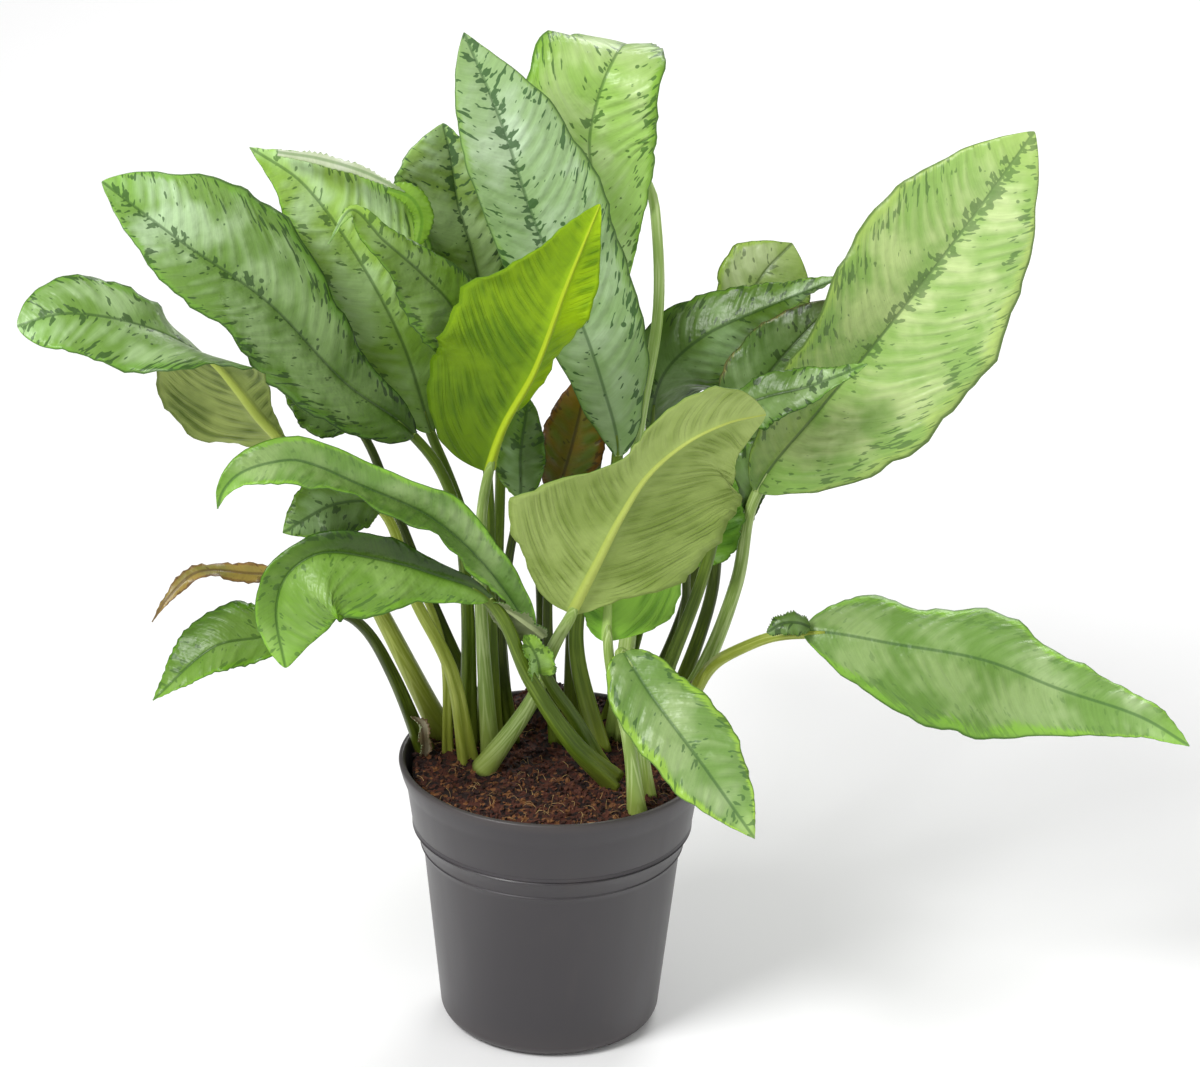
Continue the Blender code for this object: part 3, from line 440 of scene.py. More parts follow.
def blade_surface(measures, across, t):
    """Points on the blade's middle surface, the upper skin's normals and cm from the midrib."""
    middle, forward, up = blade_frame(measures, t)
    side = np.where(across < 0, -1.0, 1.0)
    outward = np.cross(forward, up) * side[:, None]
    reach = np.abs(across)
    width = half_width(measures, side, t)
    lift = np.radians(on_side(measures["lift"], side, t))
    bend = np.radians(on_side(measures["curl"], side, t)) * reach
    chord = width * reach * np.sinc(bend / (2 * np.pi))
    # The margin waves, and two finer ripples run along it out of step with the waves.
    height, count, phase = measures["wave"]
    turn = 2 * np.pi * (count * t + phase + 0.37 * (side < 0))
    fine = 2 * np.pi * (2.7 * count * t + 0.23 * seed_of(measures) + 0.19 * side)
    ripple = height * reach ** 2 * np.sin(turn) + 0.35 * height * reach ** 4 * np.sin(fine)
    ripple = ripple + 0.10 * reach ** 6 * np.sin(2.3 * fine + 1.7 * turn)
    ripple = ripple * np.sqrt(np.sin(np.pi * t).clip(0))
    out = chord * np.cos(lift + bend / 2) - ripple * np.sin(lift + bend)
    rise = chord * np.sin(lift + bend / 2) + ripple * np.cos(lift + bend)
    # The skin turns from the midrib's way to the half's own way over the first few millimetres.
    distance = width * reach
    angle = ((lift + bend) * np.minimum(1, distance / SKIN_TURN))[:, None]
    skin = up * np.cos(angle) - outward * np.sin(angle)
    return middle + outward * out[:, None] + up * rise[:, None], skin, distance


def rib_radius(measures, t):
    """The midrib goes on from the stalk and thins out to the tip."""
    return measures["thick"] * NECK_TAPER * 0.9 * (1 - t) ** 1.1 + 0.035


# ---------------------------------------------------------------- mesh helpers

def finish_mesh(name, shape):
    mesh = bpy.data.meshes.new(name)
    shape.to_mesh(mesh)
    shape.free()
    return mesh


def place_object(name, data):
    made = bpy.data.objects.new(name, data)
    bpy.context.scene.collection.objects.link(made)
    return made


def finish_piece(name, shape, materials, smooth=True):
    """A bmesh as an object, with its materials and its slot, that rides on the plant's body."""
    mesh = finish_mesh(name, shape)
    if smooth:
        mesh.shade_smooth()
    for material in materials:
        mesh.materials.append(material)
    piece = place_object(name, mesh)
    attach(piece, "root")
    return piece


def points_of(mesh):
    flat = np.empty(3 * len(mesh.vertices))
    mesh.vertices.foreach_get("co", flat)
    return flat.reshape(-1, 3)


def move_points(mesh, points):
    mesh.vertices.foreach_set("co", np.ascontiguousarray(points, float).ravel())
    mesh.update()


def lay_out(mesh, name, places):
    """A UV map whose value at each corner is its vertex's place."""
    layer = mesh.uv_layers.new(name=name)
    corners = np.empty(len(mesh.loops), int)
    mesh.loops.foreach_get("vertex_index", corners)
    layer.data.foreach_set("uv", np.ascontiguousarray(places[corners], np.float32).ravel())


def slab(columns, rows):
    """A flat closed slab from -1 to 1 in x and y: its upper skin at z 0, its under skin at -1."""
    shape = bmesh.new()
    bmesh.ops.create_grid(shape, x_segments=columns, y_segments=rows, size=1)
    upper = shape.faces[:]
    made = bmesh.ops.extrude_face_region(shape, geom=upper, use_keep_orig=True)
    lower = [item for item in made["geom"] if isinstance(item, bmesh.types.BMVert)]
    for item in made["geom"]:
        if isinstance(item, bmesh.types.BMFace):
            item.material_index = 1
    bmesh.ops.translate(shape, verts=lower, vec=(0, 0, -1))
    bmesh.ops.recalc_face_normals(shape, faces=shape.faces)
    return shape


def tube(sides, rows):
    """A closed tube standing on the grid's y from -1 to 1, wrapped round from x -1 to 1."""
    shape = bmesh.new()
    bmesh.ops.create_cone(shape, cap_ends=True, segments=sides, radius1=1, radius2=1, depth=2)
    walls = [edge for edge in shape.edges if abs(edge.verts[0].co.z - edge.verts[1].co.z) > 1]
    bmesh.ops.subdivide_edges(shape, edges=walls, cuts=rows - 1)
    return shape


# ---------------------------------------------------------------- node wiring

class Wiring:
    """Short calls for adding nodes to one node tree. Every call gives an output socket."""

    def __init__(self, tree):
        self.tree = tree

    def node(self, kind, **settings):
        made = self.tree.nodes.new(kind)
        for name, value in settings.items():
            setattr(made, name, value)
        return made

    def put(self, socket, value):
        if isinstance(value, bpy.types.NodeSocket):
            self.tree.links.new(value, socket)
        else:
            socket.default_value = value

    def calc(self, operation, a, b=0.0, c=0.0):
        made = self.node("ShaderNodeMath", operation=operation)
        for socket, value in zip(made.inputs, (a, b, c)):
            self.put(socket, value)
        return made.outputs[0]

    def plus(self, a, b):
        return self.calc("ADD", a, b)

    def minus(self, a, b):
        return self.calc("SUBTRACT", a, b)

    def times(self, a, b):
        return self.calc("MULTIPLY", a, b)

    def times_plus(self, a, b, c):
        return self.calc("MULTIPLY_ADD", a, b, c)

    def least(self, a, b):
        return self.calc("MINIMUM", a, b)

    def most(self, a, b):
        return self.calc("MAXIMUM", a, b)

    def step(self, value, low, high):
        """0 below low, 1 above high, and smooth between."""
        made = self.node("ShaderNodeMapRange", interpolation_type="SMOOTHSTEP")
        for name, given in (("Value", value), ("From Min", low), ("From Max", high)):
            self.put(made.inputs[name], given)
        return made.outputs["Result"]

    def spread(self, value, low, high):
        """A 0 to 1 value spread from low to high."""
        made = self.node("ShaderNodeMapRange")
        for name, given in (("Value", value), ("To Min", low), ("To Max", high)):
            self.put(made.inputs[name], given)
        return made.outputs["Result"]

    def blend(self, factor, a, b, mode="MIX"):
        made = self.node("ShaderNodeMix", data_type="RGBA", blend_type=mode)
        for index, value in ((0, factor), (6, a), (7, b)):
            self.put(made.inputs[index], value)
        return made.outputs[2]

    def shade(self, colour, tone):
        """The colour made lighter or darker by a value."""
        return self.blend(1.0, colour, self.join(tone, tone, tone), "MULTIPLY")

    def join(self, x, y, z=0.0):
        made = self.node("ShaderNodeCombineXYZ")
        for socket, value in zip(made.inputs, (x, y, z)):
            self.put(socket, value)
        return made.outputs[0]

    def noise(self, vector, scale=1.0, detail=2.0, roughness=0.5):
        made = self.node("ShaderNodeTexNoise")
        for name, value in (("Vector", vector), ("Scale", scale), ("Detail", detail),
                            ("Roughness", roughness)):
            self.put(made.inputs[name], value)
        return made.outputs["Fac"]

    def cells(self, vector, scale):
        made = self.node("ShaderNodeTexVoronoi")
        self.put(made.inputs["Vector"], vector)
        self.put(made.inputs["Scale"], scale)
        return made

    def split(self, vector):
        parts = self.node("ShaderNodeSeparateXYZ")
        self.put(parts.inputs[0], vector)
        return parts.outputs

    def map(self, name):
        """The two values of one of the piece's UV maps."""
        return self.split(self.node("ShaderNodeUVMap", uv_map=name).outputs[0])[:2]

    def object_place(self):
        return self.node("ShaderNodeTexCoord").outputs["Object"]


def paint(red, green, blue):
    """A colour given as it looks, 0 to 255, as the shader's own linear values."""
    return (*(math.pow(value / 255, 2.2) for value in (red, green, blue)), 1)


KINDS = {"colour": "NodeSocketColor", "value": "NodeSocketFloat"}


def begin_group(name, inputs, outputs):
    """An empty node group: its wiring, its input sockets by name and its output node."""
    group = bpy.data.node_groups.new(name, "ShaderNodeTree")
    for label, kind in inputs.items():
        group.interface.new_socket(label, in_out="INPUT", socket_type=KINDS[kind])
    for label, kind in outputs.items():
        group.interface.new_socket(label, in_out="OUTPUT", socket_type=KINDS[kind])
    wiring = Wiring(group)
    return wiring, wiring.node("NodeGroupInput").outputs, wiring.node("NodeGroupOutput").inputs


def begin_material(name, group, values, bump=1.0, **uniform):
    """A Principled material fed by a group's Colour, Roughness and Height."""
    material = bpy.data.materials.new(name)
    material.use_nodes = True
    wiring = Wiring(material.node_tree)
    shader = material.node_tree.nodes["Principled BSDF"]
    pattern = wiring.node("ShaderNodeGroup", node_tree=group)
    for label, value in values.items():
        pattern.inputs[label].default_value = paint(*value) if isinstance(value, tuple) else value
    wiring.put(shader.inputs["Base Color"], pattern.outputs["Colour"])
    wiring.put(shader.inputs["Roughness"], pattern.outputs["Roughness"])
    relief = wiring.node("ShaderNodeBump")
    relief.inputs["Strength"].default_value = bump
    relief.inputs["Distance"].default_value = 1.0
    wiring.put(relief.inputs["Height"], pattern.outputs["Height"])
    wiring.put(shader.inputs["Normal"], relief.outputs[0])
    for label, value in uniform.items():
        shader.inputs[label.replace("_", " ")].default_value = value
    return material


FINISH = {"Colour": "colour", "Roughness": "value", "Height": "value"}


def finish_group(w, result, colour, roughness, height):
    for name, value in zip(FINISH, (colour, roughness, height)):
        w.put(result[name], value)
    return w.tree


# ---------------------------------------------------------------- leaf finishes

def skin_places(w):
    """Shared measures of a blade's skin: t, margin share, cm from midrib, and place of the vein."""
    share, t = w.map("shape")
    x, y = w.map("size")
    margin = w.calc("ABSOLUTE", w.times_plus(share, 2, -1))
    away = w.calc("ABSOLUTE", x)
    sweep = w.times(away, w.times_plus(away, 0.13, 0.42))
    stagger = w.times(w.calc("SIGN", x), 0.3)
    vein = w.plus(w.minus(y, sweep), stagger)
    return t, margin, x, y, away, vein


def scaled(w, x, y, across, along_it):
    """A place in a pattern that is drawn out more one way than the other."""
    return w.join(w.times(x, across), w.times(y, along_it))


def vein_ridges(w, vein, x, away, margin):
    """Broad ribbing between the side veins, its strength, and the fine lines that run with them."""
    wander = w.noise(scaled(w, vein, x, 0.5, 0.3), detail=1)
    turns = w.times_plus(vein, 5.6, w.times(wander, 7.0))
    broad = w.times_plus(w.calc("SINE", turns), 0.5, 0.5)
    fade = w.times(w.step(away, 0.1, 1.0), w.step(margin, 1.0, 0.8))
    patchy = w.noise(scaled(w, vein, x, 0.35, 0.5), detail=1)
    fade = w.times(fade, w.step(patchy, 0.3, 0.6))
    fine = w.noise(scaled(w, vein, x, 7.0, 0.6), detail=2)
    return broad, fade, fine


def with_painted_light_and_shade(w, colour):
    """Painted light and shade: the colour lightened or darkened by the tone; darker is yellower."""
    tone = w.map("tone")[0]
    shift = w.join(*(w.calc("POWER", tone, power) for power in (2.2, 1.9, 3.2)))
    return w.blend(1.0, colour, shift, "MULTIPLY")


def limited(w, value):
    """A value kept from 0 to 1."""
    return w.most(w.least(value, 1), 0)


def blotches(w, place, t, margin, x, away, vein, feather):
    """Dark flecks drawn out along the side veins, by the midrib and the margin, and round drops."""
    clumps = w.noise(place, scale=0.55, detail=1)
    ink = w.noise(scaled(w, vein, x, 2.3, 1.25), detail=1.5, roughness=0.6)
    by_margin = w.times(w.step(margin, 0.5, 0.8), w.step(margin, 1.0, 0.95))
    by_rib = w.times(w.times(w.step(away, 1.3, 0.2), w.step(t, 0.2, 0.6)), feather)
    zone = w.most(w.times(by_margin, 0.125), w.times(by_rib, 0.19))
    ink = w.plus(ink, w.times_plus(clumps, 0.35, -0.175))
    fleck = w.step(w.plus(ink, zone), 0.685, 0.715)
    drops = w.cells(place, 1.15)
    size = w.times(w.calc("POWER", w.split(drops.outputs["Color"])[0], 3), 0.24)
    size = w.times(size, w.step(clumps, 0.4, 0.6))
    drop = w.step(w.minus(drops.outputs["Distance"], size), 0.03, -0.03)
    return w.most(fleck, drop)


def make_upper_group():
    inputs = {"Field": "colour", "Glow": "colour", "Edge": "colour", "Mark": "colour",
              "Veins": "value", "Blotches": "value", "Feather": "value", "Band": "value"}
    w, given, result = begin_group("leaf_upper_markings", inputs, FINISH)
    t, margin, x, y, away, vein = skin_places(w)
    broad, fade, fine = vein_ridges(w, vein, x, away, margin)
    place = w.join(x, y)
    cloud = w.noise(place, scale=0.24, detail=3)

    ribbing = w.times(w.times(broad, fade), given["Veins"])
    centre = w.times(w.step(margin, 0.95, 0.45), 0.45)
    glow = w.plus(w.step(cloud, 0.40, 0.66), w.times_plus(ribbing, 0.8, -0.45))
    colour = w.blend(limited(w, w.plus(glow, centre)), given["Field"], given["Glow"])
    tone = w.spread(fine, 0.84, 1.14)
    colour = w.shade(colour, tone)

    ragged = w.times_plus(w.minus(fine, 0.5), 0.25, margin)
    ragged = w.times_plus(w.minus(cloud, 0.5), 0.5, ragged)
    inner = w.minus(1.0, given["Band"])
    band = w.step(ragged, inner, w.plus(inner, 0.14))
    band = w.most(band, w.times(w.step(t, 0.84, 1.0), 0.6))
    colour = w.blend(w.times(band, 0.8), colour, given["Edge"])

    blotch = blotches(w, place, t, margin, x, away, vein, given["Feather"])
    blotch = w.times(blotch, given["Blotches"])
    rib = w.times(w.step(away, 0.16, 0.05), 0.7)
    rim = w.times(w.step(margin, 0.955, 0.985), 0.75)
    dark = w.most(blotch, w.most(rib, rim))
    colour = with_painted_light_and_shade(w, w.blend(w.times(dark, 0.85), colour, given["Mark"]))

    sheen = w.times_plus(w.noise(place, scale=1.4, detail=3), 0.2, 0.26)
    sheen = w.times_plus(dark, 0.05, sheen)
    relief = w.times(w.times(broad, fade), 0.0007)
    relief = w.times_plus(fine, 0.0002, relief)
    relief = w.times_plus(w.noise(place, scale=1.1, detail=2), 0.0012, relief)
    return finish_group(w, result, colour, sheen, relief)


def make_under_group():
    inputs = {"Field": "colour", "Shade": "colour", "Rib": "colour", "Veins": "value"}
    w, given, result = begin_group("leaf_under_markings", inputs, FINISH)
    t, margin, x, y, away, vein = skin_places(w)
    broad, fade, fine = vein_ridges(w, vein, x, away, margin)
    place = w.join(x, y)
    cloud = w.noise(place, scale=0.25, detail=3)
    ribbing = w.times(w.times(broad, fade), given["Veins"])
    shade = w.plus(w.times(w.step(cloud, 0.38, 0.68), 0.6), ribbing)
    colour = w.blend(w.least(shade, 1), given["Field"], given["Shade"])
    tone = w.spread(fine, 0.86, 1.12)
    wander = w.noise(scaled(w, vein, x, 0.8, 0.4), detail=1)
    thin = w.calc("SINE", w.times_plus(vein, 13, w.times(wander, 9)))
    thin = w.times(w.step(thin, 0.2, 1.0), fade)
    tone = w.times_plus(thin, -0.1, tone)
    colour = w.shade(colour, tone)
    rim = w.times(w.step(margin, 0.95, 0.98), 0.5)
    colour = w.blend(rim, colour, given["Shade"])
    edge = w.times_plus(w.minus(1, t), 0.30, 0.07)
    rib = w.step(away, w.times(edge, 1.15), w.times(edge, 0.8))
    colour = w.blend(rib, with_painted_light_and_shade(w, colour), given["Rib"])
    lines = w.times(w.calc("POWER", broad, 6), fade)
    relief = w.times_plus(lines, 0.0004, w.times(fine, 0.00015))
    relief = w.times_plus(thin, -0.00025, relief)
    relief = w.times_plus(w.noise(place, scale=1.1, detail=2), 0.001, relief)
    return finish_group(w, result, colour, w.times_plus(fine, 0.14, 0.42), relief)


def make_stalk_group():
    inputs = {"Body": "colour", "Pale": "colour", "Foot": "colour"}
    w, given, result = begin_group("stalk_streaks", inputs, FINISH)
    t = w.map("shape")[1]
    x, y = w.map("size")
    streak = w.noise(w.join(w.times(x, 6), w.times(y, 0.25)), detail=3)
    cloud = w.noise(w.join(x, y), scale=0.35, detail=2)
    mix = w.plus(w.step(streak, 0.42, 0.66), w.times_plus(cloud, 0.8, -0.5))
    colour = w.blend(limited(w, mix), given["Body"], given["Pale"])
    foot = w.times(w.step(t, 0.3, 0.02), w.spread(streak, 0.4, 1.0))
    colour = w.blend(foot, colour, given["Foot"])
    roughness = w.times_plus(streak, 0.2, 0.32)
    return finish_group(w, result, colour, roughness, w.times(streak, 0.0003))


UPPER_LOOKS = {
    # field, glow, edge, mark, veins, blotches, feather, band
    "silver": ((146, 178, 118), (178, 204, 160), (124, 164, 72), (50, 88, 40), 0.4, 1.0, 1.0, 0.16),
    "feathered": ((104, 132, 56), (142, 168, 110), (104, 140, 58),
                  (42, 70, 34), 0.7, 1.0, 1.0, 0.2),
    "lime": ((152, 194, 92), (182, 212, 134), (126, 178, 48), (54, 98, 32), 0.4, 0.9, 0.6, 0.18),
    "bright": ((148, 186, 98), (196, 218, 148), (178, 206, 108),
               (54, 90, 46), 0.6, 0.7, 1.15, 0.16),
    "sage": ((104, 140, 60), (154, 184, 126), (104, 152, 50), (38, 70, 26), 0.55, 0.9, 0.8, 0.18),
    "pale": ((134, 172, 68), (168, 200, 134), (130, 180, 60), (48, 84, 30), 0.6, 0.8, 0.5, 0.2),
    "fresh": ((104, 144, 50), (130, 166, 82), (116, 170, 38), (40, 80, 24), 0.55, 0.6, 0.45, 0.2),
    "plain": ((98, 134, 58), (134, 162, 96), (120, 172, 48), (42, 80, 34), 0.55, 0.3, 0.3, 0.22),
    "flecked": ((98, 132, 60), (134, 160, 98), (136, 178, 56), (42, 78, 34), 0.5, 0.75, 0.45, 0.24),
    # A darker green: partly the leaves' own colour, partly painted shade on leaves inside the
    # plant.
    "dark_green_and_painted_shade": ((76, 106, 34), (116, 146, 86), (92, 132, 36), (30, 56, 20), 0.6, 0.8, 0.6, 0.2),
    "olive": ((112, 136, 66), (150, 168, 110), (126, 158, 52), (46, 66, 28), 0.7, 0.7, 0.5, 0.18),
    "scorched": ((86, 116, 54), (126, 152, 98), (160, 144, 88), (36, 56, 20), 0.6, 0.8, 0.6, 0.1),
    "brown": ((100, 82, 18), (78, 92, 26), (98, 62, 16), (44, 32, 12), 0.7, 0.7, 0.4, 0.25),
    "dry": ((128, 112, 50), (104, 102, 46), (104, 80, 44), (70, 52, 32), 0.4, 0.7, 0.2, 0.3),
    # A whitish painted highlight: the gloss on a curled margin drawn as colour.
    "painted_highlight": ((186, 200, 160), (208, 216, 190), (150, 180, 110),
               (96, 130, 70), 0.3, 0.0, 0.0, 0.2),
    # Bright lime: partly the flap's own green, partly painted light shining through it.
    "clear": ((118, 162, 46), (132, 174, 64), (108, 154, 40), (84, 132, 36), 0.2, 0.0, 0.0, 0.1),
    "papery": ((186, 178, 150), (160, 148, 110), (120, 92, 60), (96, 72, 48), 0.7, 0.6, 0.2, 0.3),
}
UNDER_LOOKS = {
    # field, shade, rib, veins
    "plain": ((128, 154, 82), (96, 124, 50), (168, 188, 106), 0.5),
    # The lime underside of leaf 08: its own lime and painted light shining through the blade.
    "lime_and_painted_glow": ((124, 158, 8), (84, 120, 2), (166, 188, 40), 0.5),
    "straw": ((150, 170, 92), (118, 140, 60), (170, 184, 90), 0.5),
    "arching": ((160, 176, 96), (92, 112, 40), (182, 198, 90), 0.7),
    "green": ((114, 160, 50), (76, 120, 30), (162, 192, 104), 0.7),
    "chalky": ((150, 160, 122), (112, 128, 76), (168, 180, 130), 0.6),
}
STALK_LOOKS = {
    # body, pale, foot
    "green": ((80, 102, 24), (108, 130, 44), (134, 148, 58)),
    "dark": ((56, 70, 14), (80, 96, 24), (106, 122, 36)),
    "pale": ((130, 156, 76), (176, 196, 128), (150, 166, 78)),
    "yellow": ((144, 158, 58), (180, 192, 96), (144, 152, 60)),
    # A pale green stalk drawn lighter still: painted light on leaf 25's stalk, which faces down.
    "light": ((170, 202, 110), (206, 228, 156), (160, 178, 90)),
}
UPPER_LABELS = ("Field", "Glow", "Edge", "Mark", "Veins", "Blotches", "Feather", "Band")
UNDER_LABELS = ("Field", "Shade", "Rib", "Veins")
STALK_LABELS = ("Body", "Pale", "Foot")


def make_looks(prefix, group, labels, looks, **uniform):
    return {name: begin_material(prefix + name, group, dict(zip(labels, values)), **uniform)
            for name, values in looks.items()}


# ---------------------------------------------------------------- leaves

def column_reach(measures, columns, side, t):
    """How far across each grid column lies: close together over the midrib, even beyond it."""
    width = half_width(measures, side, t)
    rib = np.minimum(RIB_COLUMNS[-1] * rib_radius(measures, t) / width, RIB_SHARE)
    near = np.interp(columns, range(len(RIB_COLUMNS)), RIB_COLUMNS) / RIB_COLUMNS[-1] * rib
    last = len(RIB_COLUMNS) - 1
    beyond = rib + (1 - rib) * (columns - last) / (BLADE_COLUMNS - last)
    return np.where(columns <= last, near, beyond)


def make_blade(measures, upper, under, part="blade"):
    """A closed shell with a groove along its upper skin and a round midrib under it."""
    name = "leaf_" + measures["number"] + "_" + part
    blade = finish_piece(name, slab(2 * BLADE_COLUMNS, BLADE_ROWS), (upper, under))
    flat = points_of(blade.data)
    side = np.where(flat[:, 0] < 0, -1.0, 1.0)
    rows = (flat[:, 1] + 1) / 2
    t = rows - ROW_CROWDING * np.sin(2 * np.pi * rows) / (2 * np.pi)
    reach = column_reach(measures, np.abs(flat[:, 0]) * BLADE_COLUMNS, side, t)
    middle, skin, distance = blade_surface(measures, reach * side, t)
    _, length, neck = spine(measures)
    rib = rib_radius(measures, t)
    thickness = BLADE_THICKNESS * (1 - 0.5 * reach)
    groove = GROOVE * rib * np.exp(-(distance / (0.5 * rib + 0.03)) ** 2)
    ridge = RIDGE * rib * np.sqrt((1 - (distance / rib) ** 2).clip(0)) * ease(t, 0, 0.02)
    lift = np.where(flat[:, 2] > -0.5, thickness / 2 - groove, -thickness / 2 - ridge)
    move_points(blade.data, (middle + skin * lift[:, None]) * CM)
    lay_out(blade.data, "shape", np.stack((reach * side / 2 + 0.5, t), axis=1))
    run = t * length * (1 - neck) + PATTERN_STEP * seed_of(measures)
    lay_out(blade.data, "size", np.stack((distance * side, run), axis=1))
    # Painted light and shade: each half is drawn lighter or darker by the leaf's tone, blended over
    # the midrib.
    left, right = (along(tone, t) for tone in measures["tone"])
    tone = left + (right - left) * ease(distance * side, -0.5, 0.5)
    lay_out(blade.data, "tone", np.stack((tone, t), axis=1))
    return blade


def stalk_outline(turn, grown):
    """A petiole's outline round its centre: channelled on its upper side, winged low down."""
    turn = np.abs((turn + np.pi) % (2 * np.pi) - np.pi)
    channel = along(STALK_CHANNEL, grown) * np.exp(-(turn / 0.45) ** 2)
    wing = along(STALK_WINGS, grown) * np.exp(-((turn - 0.8) / 0.3) ** 2)
    return 1 - channel + wing


def make_stalk(measures, skin):
    """A petiole from inside the soil to under its blade, where it thins out into the midrib."""
    name = "leaf_" + measures["number"] + "_stalk"
    stalk = finish_piece(name, tube(STALK_SIDES, STALK_ROWS), (skin,))
    flat = points_of(stalk.data)
    points, length, neck = spine(measures)
    rows = (flat[:, 2] + 1) / 2
    first = -BURIED / length
    last = neck + UNDER_BLADE / length
    place = first + (last - first) * rows
    forward = heading(points, place)
    centre = smooth_route(points, place) + forward * (np.minimum(place, 0) * length)[:, None]
    grown = (place / neck).clip(0, 1)
    radius = measures["thick"] * (1 - (1 - NECK_TAPER) * grown + FOOT_FLARE * (1 - grown) ** 6)
    past = ((place - neck) * length / UNDER_BLADE).clip(0, 1)
    radius = radius * (1 - 0.75 * past ** 1.5)
    up = square_to(forward, np.tile(np.array(measures["facing"][0], float), (len(place), 1)))
    right = np.cross(forward, up)
    turn = np.arctan2(flat[:, 0], flat[:, 1])
    outline = radius * stalk_outline(turn, grown)
    outline = outline * np.hypot(flat[:, 0], flat[:, 1])
    drop = radius * ease((place - neck) * length, -3.0, 0.5)
    ring = right * (np.sin(turn) * outline)[:, None] + up * (np.cos(turn) * outline - drop)[:, None]
    move_points(stalk.data, (centre + ring) * CM)
    lay_out(stalk.data, "shape", np.stack((turn / (2 * np.pi) + 0.5, grown), axis=1))
    run = place * length + STALK_PATTERN_STEP * seed_of(measures)
    lay_out(stalk.data, "size", np.stack((np.abs(turn) * radius, run), axis=1))
    return stalk


# ---------------------------------------------------------------- pot

def arc(centre, radius, start, end, steps):
    angles = np.radians(np.linspace(start, end, steps + 1))
    return [(centre[0] + radius * np.cos(a), centre[1] + radius * np.sin(a)) for a in angles]


def inner_side(point):
    return (point[0] - WALL, point[1])


def pot_profile():
    edge = arc((STAND_RADIUS, EDGE_RADIUS), EDGE_RADIUS, -90, -12, 10)
    step_ring = [(0.0894, 0.1312), (0.0903, 0.1322), (0.0898, 0.1330), (0.0903, 0.1342)]
    shoulder = (0.0916, 0.1385)
    collar_ring = [(0.0946, 0.1450), (0.0956, 0.1460), (0.0948, 0.1468), (0.0957, 0.1478),
                   (0.0953, 0.1500), (0.0958, 0.1508)]
    flare = [COLLAR_TOP, (0.1008, 0.1790), (0.1030, 0.1850), (0.1045, 0.1905)]
    lip = arc((LIP_RADIUS - LIP_ROUND, POT_HEIGHT - LIP_ROUND), LIP_ROUND, 0, 180, 12)
    mouth = [(0.1000, 0.1870), (0.0984, 0.1790)]
    inside = [inner_side(COLLAR_TOP), inner_side(COLLAR_FOOT), inner_side(BODY_TOP),
              inner_side(BODY_FOOT), (BODY_FOOT[0] - INNER_CORNER, FLOOR), (0, FLOOR)]
    outside = [(0, 0), *edge, BODY_TOP, *step_ring, shoulder, *collar_ring, *flare]
    return outside + lip + mouth + inside


def turned(profile, steps):
    shape = bmesh.new()
    corners = [shape.verts.new((radius, 0, height)) for radius, height in profile]
    edges = [shape.edges.new(pair) for pair in zip(corners, corners[1:])]
    bmesh.ops.spin(shape, geom=corners + edges, cent=(0, 0, 0), axis=(0, 0, 1), angle=2 * math.pi,
                   steps=steps, use_merge=True)
    bmesh.ops.remove_doubles(shape, verts=shape.verts, dist=0.00001)
    bmesh.ops.recalc_face_normals(shape, faces=shape.faces)
    return shape


def drain_cutter(angle):
    shape = bmesh.new()
    length = LIP_RADIUS - CHANNEL_START
    place = Matrix.Translation((CHANNEL_START + length / 2, 0, 0))
    size = Matrix.Diagonal((length, CHANNEL_WIDTH, 2 * CHANNEL_DEPTH, 1))
    bmesh.ops.create_cube(shape, size=1, matrix=place @ size)
    bmesh.ops.rotate(shape, verts=shape.verts, matrix=Matrix.Rotation(angle, 3, "Z"))
    return place_object("channel_cutter", finish_mesh("channel_cutter", shape))


def hole_cutter(angle):
    shape = bmesh.new()
    place = Matrix.Rotation(angle, 4, "Z") @ Matrix.Translation((HOLE_CIRCLE, 0, FLOOR / 2))
    bmesh.ops.create_cone(shape, cap_ends=True, segments=32, radius1=HOLE_RADIUS,
                          radius2=HOLE_RADIUS, depth=2 * FLOOR, matrix=place)
    return place_object("hole_cutter", finish_mesh("hole_cutter", shape))


def cut_away(piece, cutters):
    """Cuts the shapes out of the piece for good, then removes them."""
    for cutter in cutters:
        modifier = piece.modifiers.new(cutter.name, "BOOLEAN")
        modifier.operation = "DIFFERENCE"
        modifier.solver = "EXACT"
        modifier.object = cutter
    bpy.context.view_layer.update()
    graph = bpy.context.evaluated_depsgraph_get()
    finished = bpy.data.meshes.new_from_object(piece.evaluated_get(graph))
    piece.modifiers.clear()
    piece.data = finished
    for cutter in cutters:
        bpy.data.objects.remove(cutter)


def make_pot_group():
    w, given, result = begin_group("moulded_pot", {"Body": "colour", "Dust": "colour"}, FINISH)
    place = w.object_place()
    height = w.split(place)[2]
    cloud = w.noise(place, scale=14, detail=4)
    stretched = w.node("ShaderNodeMapping")
    stretched.inputs["Scale"].default_value = (60, 60, 6)
    w.put(stretched.inputs[0], place)
    drag = w.noise(stretched.outputs[0], scale=1.0, detail=3)
    tone = w.spread(cloud, 0.9, 1.1)
    colour = w.shade(given["Body"], tone)
    film = w.times(w.step(drag, 0.45, 0.8), w.step(cloud, 0.4, 0.75))
    rim = w.times(w.step(height, 0.186, 0.1945), 0.35)
    foot = w.times(w.step(height, 0.03, 0.0), 0.25)
    dust = w.most(w.times(film, 0.35), w.most(rim, foot))
    colour = w.blend(dust, colour, given["Dust"])
    roughness = w.times_plus(dust, 0.3, w.spread(drag, 0.36, 0.48))
    grain = w.noise(place, scale=1400, detail=2)
    relief = w.times_plus(grain, 0.00002, w.times(drag, 0.00004))
    return finish_group(w, result, colour, roughness, relief)


